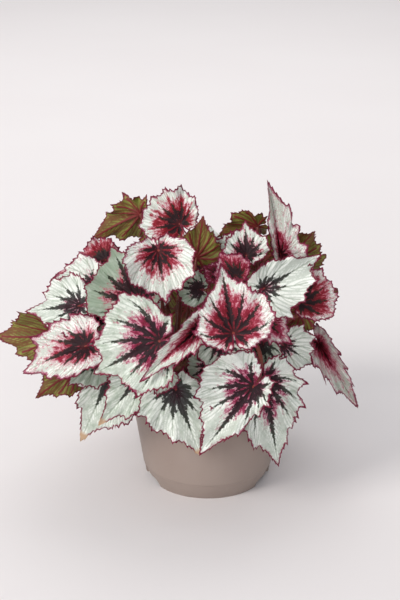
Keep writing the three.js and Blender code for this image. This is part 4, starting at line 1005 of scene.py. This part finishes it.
def flat_blade(leaf, rng):
    """The flat blade cut into small triangles that follow its edge and every vein."""
    radius, angle = toothed_edge(leaf, rng)
    mains, branches = vein_lines(leaf, radius, angle)
    side = [np.linspace(0, 1, max(3, int(radius[i] / 1.2)))[1:-1, None] * polar(radius[i], angle[i])
            for i in (0, -1)]
    rim = np.concatenate([[[0, 0]], side[0], polar(radius, angle), side[1][::-1]])
    step = GRID_STEP * min(1.05, max(0.72, leaf["length"] / 65))
    span = leaf["length"] * 1.3
    rows = np.arange(-span, span, step * 0.866)
    cols = np.arange(-span, span, step)
    grid = np.array([(x + (0.5 * step if i % 2 else 0), y)
                     for i, y in enumerate(rows) for x in cols])
    grid_angle = np.arctan2(grid[:, 1], grid[:, 0])
    grid_radius = np.hypot(grid[:, 0], grid[:, 1])
    room = np.interp(grid_angle, angle, radius) - 0.3
    grid = grid[(np.abs(grid_angle) < BLADE_SPREAD) & (grid_radius < room)]
    clear = (away_from(grid, mains + branches) > 0.45 * step) & (
        away_from(grid, [np.concatenate([rim, rim[:1]])]) > 0.55 * step)
    grid = grid[clear]
    points, edges = [tuple(p) for p in rim], []
    for line in mains + branches:
        first = len(points)
        points += [tuple(p) for p in line]
        edges += [(first + i, first + i + 1) for i in range(len(line) - 1)]
    points += [tuple(p) for p in grid]
    corners, _, faces, *_ = geometry.delaunay_2d_cdt(
        [Vector(p) for p in points], edges, [list(range(len(rim)))], 1, 1e-4)
    flat = np.array([tuple(c) for c in corners])
    faces = np.array([tuple(f) for f in faces if len(f) == 3])
    return flat, faces, mains, branches, rim, radius, angle


def not_zero(value):
    return value if abs(value) > 1e-6 else 1e-6


def shaped(leaf, flat, share, lift):
    """The flat points folded, rolled, waved and bent to the leaf's place, in metres."""
    x, y = flat[:, 0], flat[:, 1]
    length = leaf["length"]
    left = y >= 0
    fold = np.radians(np.where(left, leaf["fold"][0], leaf["fold"][1]))
    roll = np.where(left, not_zero(leaf["roll"][0]), not_zero(leaf["roll"][1])) / length
    across = np.abs(y)
    aside = (np.sin(fold + roll * across) - np.sin(fold)) / roll * np.where(left, 1, -1)
    turn = np.arctan2(y, x)
    wave = leaf["wave"] * length * share ** 2 * np.sin(3 * turn + leaf["number"] * WAVE_TURN)
    z = (np.cos(fold) - np.cos(fold + roll * across)) / roll + wave + lift
    curl = np.where(x >= 0, not_zero(leaf["curl"]), not_zero(leaf["back"])) / length
    bend = curl * x
    local = np.stack([np.sin(bend) / curl + z * np.sin(bend), aside,
                      -(1 - np.cos(bend)) / curl + z * np.cos(bend)], -1)
    axes = np.array(blade_frame(leaf))
    return (local @ axes + np.array(leaf["hub"])) * MM + AXIS


def blade_mesh(leaf):
    """A closed thin shell, its veins sunk above and raised below, with marks for its paint."""
    rng = random.Random(BLADE_SEED + leaf["number"])
    flat, faces, mains, branches, rim, radius, angle = flat_blade(leaf, rng)
    turn = np.arctan2(flat[:, 1], flat[:, 0])
    from_hub = np.hypot(flat[:, 0], flat[:, 1])
    share = np.clip(from_hub / np.interp(turn, angle, radius), 0, 1)
    vein = away_from(flat, mains)
    branch = away_from(flat, branches) if branches else np.full(len(flat), 99.0)
    margin = away_from(flat, [rim[1:]])
    size = leaf["length"] / USUAL_LENGTH
    soft = min(1.0, size ** 0.5)
    pleat = PLEAT * soft * (1 - np.exp(-(vein / (PLEAT_WIDTH * size)) ** 2))
    pucker = PUCKER * (1 - np.exp(-(branch / PUCKER_WIDTH) ** 2)) * np.minimum(1, vein / 3)
    pucker *= 0.35 + 0.65 * share
    groove = -GROOVE * np.exp(-(vein / GROOVE_WIDTH) ** 2) * (1.1 - share)
    ruffle = sum(height * share ** power * np.sin(turn * waves + rng.uniform(0, 6.3))
                 for waves, power, height in RUFFLES)
    ruffle *= RUFFLE * leaf["length"] * np.minimum(1, from_hub / 20)
    fade = np.minimum(1, margin / 1.5)
    lift = soft * (fade * (pucker + groove) + pleat * (1 - 0.5 * share)) + ruffle
    top = shaped(leaf, flat, share, lift)
    across = np.cross(top[faces[:, 1]] - top[faces[:, 0]], top[faces[:, 2]] - top[faces[:, 0]])
    normal = np.zeros_like(top)
    for i in range(3):
        np.add.at(normal, faces[:, i], across)
    normal /= np.maximum(np.linalg.norm(normal, axis=1), 1e-12)[:, None]
    rib = RIB * size ** 0.5 * (1.05 - share) * np.exp(-(vein / (0.9 * (1.25 - share))) ** 2)
    twig = TWIG * (1.1 - share) * np.exp(-(branch / 0.6) ** 2)
    thick = (SHEET * (0.6 + 0.4 * fade) + fade * np.maximum(rib, twig)) * MM
    under = top - normal * thick[:, None]
    count = len(top)
    directed = np.concatenate([faces[:, [0, 1]], faces[:, [1, 2]], faces[:, [2, 0]]])
    _, first, times = np.unique(np.sort(directed, axis=1), axis=0, return_index=True,
                                return_counts=True)
    border = directed[first[times == 1]]
    start, end = border.T
    walls = np.concatenate([np.stack([end, start, start + count], 1),
                            np.stack([end, start + count, end + count], 1)])
    triangles = np.concatenate([faces, faces[:, ::-1] + count, walls])
    mesh = bpy.data.meshes.new(leaf_name(leaf) + "_blade")
    mesh.from_pydata(np.concatenate([top, under]).tolist(), [], triangles.tolist())
    slots = np.repeat([0, 1, 0], [len(faces), len(faces), len(walls)])
    mesh.polygons.foreach_set("material_index", slots)
    dried = np.clip((flat[:, 0] / leaf["length"] - DRY_FROM) / DRY_OVER, 0, 1)
    dried *= LOOKS[leaf["number"]][-1]
    marks = {"vein": vein, "branch": branch, "share": share, "margin": margin, "dried": dried,
             "size": np.full(count, size)}
    for word, value in zip(LOOK_WORDS[:-1], LOOKS[leaf["number"]]):
        marks[word] = np.full(count, value)
    for word, values in marks.items():
        mesh.attributes.new(word, "FLOAT", "POINT").data.foreach_set("value", np.tile(values, 2))
    for word, places in (("fan", [turn * 9, from_hub * 0.11, np.full(count, 5.0 * leaf["number"])]),
                         ("flat", [*flat.T, np.full(count, 37.0 * leaf["number"])])):
        values = np.tile(np.column_stack(places), (2, 1)).ravel()
        mesh.attributes.new(word, "FLOAT_VECTOR", "POINT").data.foreach_set("vector", values)
    return mesh


class Painting(Wiring):
    """A shader node group with named inputs and outputs."""

    def __init__(self, name, inputs, outputs):
        super().__init__(bpy.data.node_groups.new(name, "ShaderNodeTree"))
        for way, sockets in (("INPUT", inputs), ("OUTPUT", outputs)):
            for label, kind in sockets.items():
                self.tree.interface.new_socket(label, in_out=way, socket_type="NodeSocket" + kind)
        self.given = self.node("NodeGroupInput").outputs
        self.made = self.node("NodeGroupOutput").inputs


# The pattern that both sides of a blade share: the ragged bands that follow the veins, spiked
# along the branches, and the blotches, specks and fine net between them.
w = Painting("vein_pattern",
             dict.fromkeys(("Vein", "Branch", "Share", "Size", "Reach", "Width"), "Float")
             | {"Flat": "Vector", "Fan": "Vector"},
             dict.fromkeys(("Band", "Rag", "Blotch", "Speck", "Net", "Streak"), "Float"))
pattern, g = w, w.given
rag = w.noise(g["Flat"], 0.42, 4, 0.62)
speck = w.noise(g["Flat"], 1.1, 3, 0.7)
left = w.minus(1.0, w.math("POWER", w.math("DIVIDE", g["Share"], g["Reach"]), 2.2))
scaled = w.times(g["Width"], g["Size"])
half_width = w.times(w.math("MINIMUM", w.times(left, 3.2), w.times(g["Share"], 12.0)), scaled)
near_hub = w.math("MINIMUM", w.times(g["Share"], 3.0), 1.0)
along_branch = w.math("EXPONENT", w.times(w.math("POWER", g["Branch"], 2.0), -0.9))
spike = w.times(along_branch, w.times(w.times(left, 4.2), w.times(near_hub, scaled)))
ragged = w.times(w.minus(w.plus(rag, speck), 1.0), w.times(near_hub, 4.5))
gap = w.minus(w.plus(g["Vein"], ragged), w.plus(half_width, spike))
net = w.node("ShaderNodeTexVoronoi", feature="DISTANCE_TO_EDGE")
w.feed(net.inputs["Vector"], g["Flat"])
net.inputs["Scale"].default_value = 0.75
for name, value in (("Band", w.step(gap, 0.35, -0.35)), ("Rag", rag), ("Speck", speck),
                    ("Blotch", w.noise(g["Flat"], 0.085, 3, 0.55)),
                    ("Streak", w.noise(g["Fan"], 1.0, 3, 0.65)), ("Net", net.outputs["Distance"])):
    w.feed(w.made[name], value)


def patterned(w):
    """The pattern group in a material, fed by the blade's own marks; returns marks and masks."""
    m = {word: w.mark(word) for word in ("vein", "branch", "share", "margin", "dried", "size",
                                         *LOOK_WORDS[:-1])}
    group = w.node("ShaderNodeGroup")
    group.node_tree = pattern.tree
    for label, value in (("Flat", w.mark("flat", "Vector")), ("Fan", w.mark("fan", "Vector")),
                         ("Vein", m["vein"]), ("Branch", m["branch"]), ("Share", m["share"]),
                         ("Size", m["size"]), ("Reach", m["dark"]), ("Width", m["band"])):
        w.feed(group.inputs[label], value)
    return m, group.outputs


upper, w, surface = new_material("leaf_face", 0.42, Specular_IOR_Level=0.22)
m, p = patterned(w)
# silver ground: grey green to nearly white, darker along the fine branches. The grey-green end is
# partly the silver's own tint and partly painted shade, strongest where a leaf's pale value is low
shade = w.plus(m["pale"], w.plus(w.centred(p["Blotch"], 0.9), w.centred(p["Streak"], 1.3)))
ground = w.lay(srgb(160, 177, 156), srgb(246, 250, 243), shade, 0.05, 0.95)
ground = w.lay(ground, srgb(128, 146, 124), m["branch"], 1.1, 0.0, 0.4)
ground = w.lay(ground, srgb(118, 134, 110), m["vein"], 1.2, 0.2, 0.5)
ground = w.lay(ground, srgb(140, 154, 140), p["Net"], 0.12, 0.0, 0.2)
# pink streaks and specks over the silver, thickest along the edge
pink = w.mix(m["warm"], srgb(172, 72, 114), srgb(186, 80, 96))
pink = w.lay(pink, srgb(210, 150, 168), p["Rag"], 0.42, 0.62)
strewn = w.plus(w.plus(w.centred(p["Streak"], 1.1), w.centred(p["Speck"], 1.0)),
                w.times(w.minus(m["flush"], 1.05), 0.5))
tone = w.lay(ground, pink, strewn, -0.02, 0.08, 0.85)
fringe = w.minus(m["margin"], w.times(m["flush"], 2.2))
fringe = w.plus(fringe, w.plus(w.centred(p["Speck"], 9.0), w.centred(p["Streak"], 9.0)))
tone = w.lay(tone, srgb(160, 58, 98), fringe, 0.5, -0.5, 0.9)
# the red zone between the bands: crimson at the hub, pink and ragged where it runs out
spread = w.plus(w.centred(p["Blotch"], 0.45),
                w.plus(w.centred(p["Rag"], 0.2), w.centred(p["Streak"], 0.9)))
beyond = w.minus(w.plus(m["share"], spread), m["red"])
beyond = w.plus(beyond, w.centred(p["Speck"], 0.35))
tone = w.lay(tone, pink, beyond, 0.16, -0.02, 0.9)
red = w.mix(m["warm"], srgb(138, 34, 74), srgb(144, 26, 40))
streaked = w.plus(w.centred(p["Streak"], 1.2), p["Rag"])
red = w.lay(red, w.mix(m["warm"], srgb(192, 110, 140), srgb(192, 84, 92)), streaked, 0.5, 0.75)
tone = w.lay(tone, red, beyond, 0.04, -0.12)
tone = w.lay(tone, w.mix(m["warm"], srgb(104, 16, 42), srgb(116, 14, 26)), beyond, -0.12, -0.34)
# the dark bands, greenish where they run out
along = w.math("DIVIDE", m["share"], m["dark"])
dark = w.lay(srgb(20, 10, 16), srgb(34, 42, 26), along, 0.45, 0.95)
dark = w.lay(dark, srgb(60, 52, 56), p["Speck"], 0.5, 0.8, 0.3)
tone = w.mix(w.times(p["Band"], 0.94), tone, dark)
core = w.plus(m["share"], w.centred(p["Rag"], 0.1))
tone = w.lay(tone, w.mix(m["warm"], srgb(34, 10, 18), srgb(72, 8, 16)), core, 0.15, 0.06)
tone = w.lay(tone, srgb(132, 52, 46), core, 0.04, 0.02)
# crimson rim, dark on the teeth, and a dried tip
rim_line = w.plus(m["margin"], w.centred(p["Rag"], 2.6))
tone = w.lay(tone, srgb(116, 24, 54), rim_line, 1.5, 0.7)
tone = w.mix(m["dried"], tone, srgb(186, 156, 126))
pimples = w.plus(w.times(w.step(p["Net"], 0.0, 0.35), 0.6), w.times(p["Speck"], 0.4))
w.paint(surface, tone, w.plus(w.centred(p["Speck"], 0.2), 0.46), w.bump(pimples, 0.6, 0.0005))

under, w, surface = new_material("leaf_back", 0.5, Specular_IOR_Level=0.3)
m, p = patterned(w)
tone = w.lay(srgb(116, 120, 50), srgb(150, 152, 74), p["Blotch"], 0.35, 0.65)
tone = w.lay(tone, srgb(92, 66, 40), p["Net"], 0.2, 0.0, 0.35)
flushed = w.plus(m["share"], w.plus(w.centred(p["Blotch"], 0.5), w.centred(p["Rag"], 0.3)))
tone = w.lay(tone, srgb(104, 40, 34), flushed, 0.62, 0.15, 0.85)
tone = w.lay(tone, srgb(112, 44, 36), m["branch"], 0.75, 0.2, 0.7)
tone = w.lay(tone, srgb(122, 42, 40), m["vein"], 1.3, 0.6)
rim_line = w.plus(m["margin"], w.centred(p["Rag"], 3.0))
tone = w.lay(tone, srgb(112, 26, 44), rim_line, 1.8, 0.5)
w.paint(surface, tone, w.plus(w.centred(p["Speck"], 0.2), 0.5),
        w.bump(w.step(p["Net"], 0.3, 0.0), 0.5, 0.0003))

for leaf in LEAVES:
    name = leaf_name(leaf)
    blade = new_object(name + "_blade", blade_mesh(leaf), [upper, under])
    blade.data.shade_smooth()
    blade.data.set_sharp_from_angle(angle=math.radians(62))
    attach(blade, "root")
    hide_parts(name)

# ---------------------------------------------------------------------------------------------
# STUDIO. A wide pale floor, a large soft light high on the left, one above, one over the floor
# behind, weak fill from the front, and the camera a little above the plant, looking down on it.
# ---------------------------------------------------------------------------------------------
CAMERA_PLACE = (-7.65, -1514.70, 771.78)
CAMERA_DOWN = 21.0687
CAMERA_LENS = 99.45
FLOOR_REACH = 9.0

paper_white, w, surface = new_material("floor_paper", 0.9, Specular_IOR_Level=0.1)
w.paint(surface, w.mix(w.noise(w.place(), 3, 2), srgb(232, 228, 228), srgb(236, 233, 233)))
sheet = bmesh.new()
corners = [(x * FLOOR_REACH, y * FLOOR_REACH, 0) for x, y in ((-1, -1), (1, -1), (1, 1), (-1, 1))]
sheet.faces.new([sheet.verts.new(corner) for corner in corners])
new_object("floor_sheet", as_mesh("floor_sheet", sheet), [paper_white])

world = bpy.data.worlds.new("studio")
bpy.context.scene.world = world
world.use_nodes = True
world.node_tree.nodes["Background"].inputs["Color"].default_value = srgb(240, 240, 244)
world.node_tree.nodes["Background"].inputs["Strength"].default_value = 0.46


def soft_box(name, place, target, width, height, watts, colour):
    light = bpy.data.lights.new(name, "AREA")
    light.shape = "RECTANGLE"
    light.size, light.size_y = width, height
    light.energy = watts
    light.color = srgb(*colour)[:3]
    made = new_object(name, light)
    made.location = place
    made.rotation_euler = (Vector(target) - Vector(place)).to_track_quat("-Z", "Y").to_euler()


soft_box("key_light", (-2.8, -2.6, 2.7), (0, 0, 0.15), 1.6, 1.6, 118, (255, 251, 247))
soft_box("top_light", (0.3, 0.9, 4.0), (0, 0, 0.2), 2.4, 2.4, 22, (255, 253, 251))
soft_box("back_light", (-0.1, 1.7, 1.8), (-0.1, 1.71, 0), 2.4, 1.8, 17, (255, 253, 251))
soft_box("front_light", (-0.6, -4.0, 2.0), (0, 0, 0.1), 2.4, 1.6, 52, (250, 250, 255))

camera_data = bpy.data.cameras.new("camera")
camera_data.lens = CAMERA_LENS
camera_data.clip_end = 50
camera = new_object("camera", camera_data)
camera.location = Vector(CAMERA_PLACE) * MM + Vector(AXIS)
camera.rotation_euler = (math.radians(90 - CAMERA_DOWN), 0, 0)
bpy.context.scene.camera = camera
bpy.context.scene.view_settings.view_transform = "Standard"
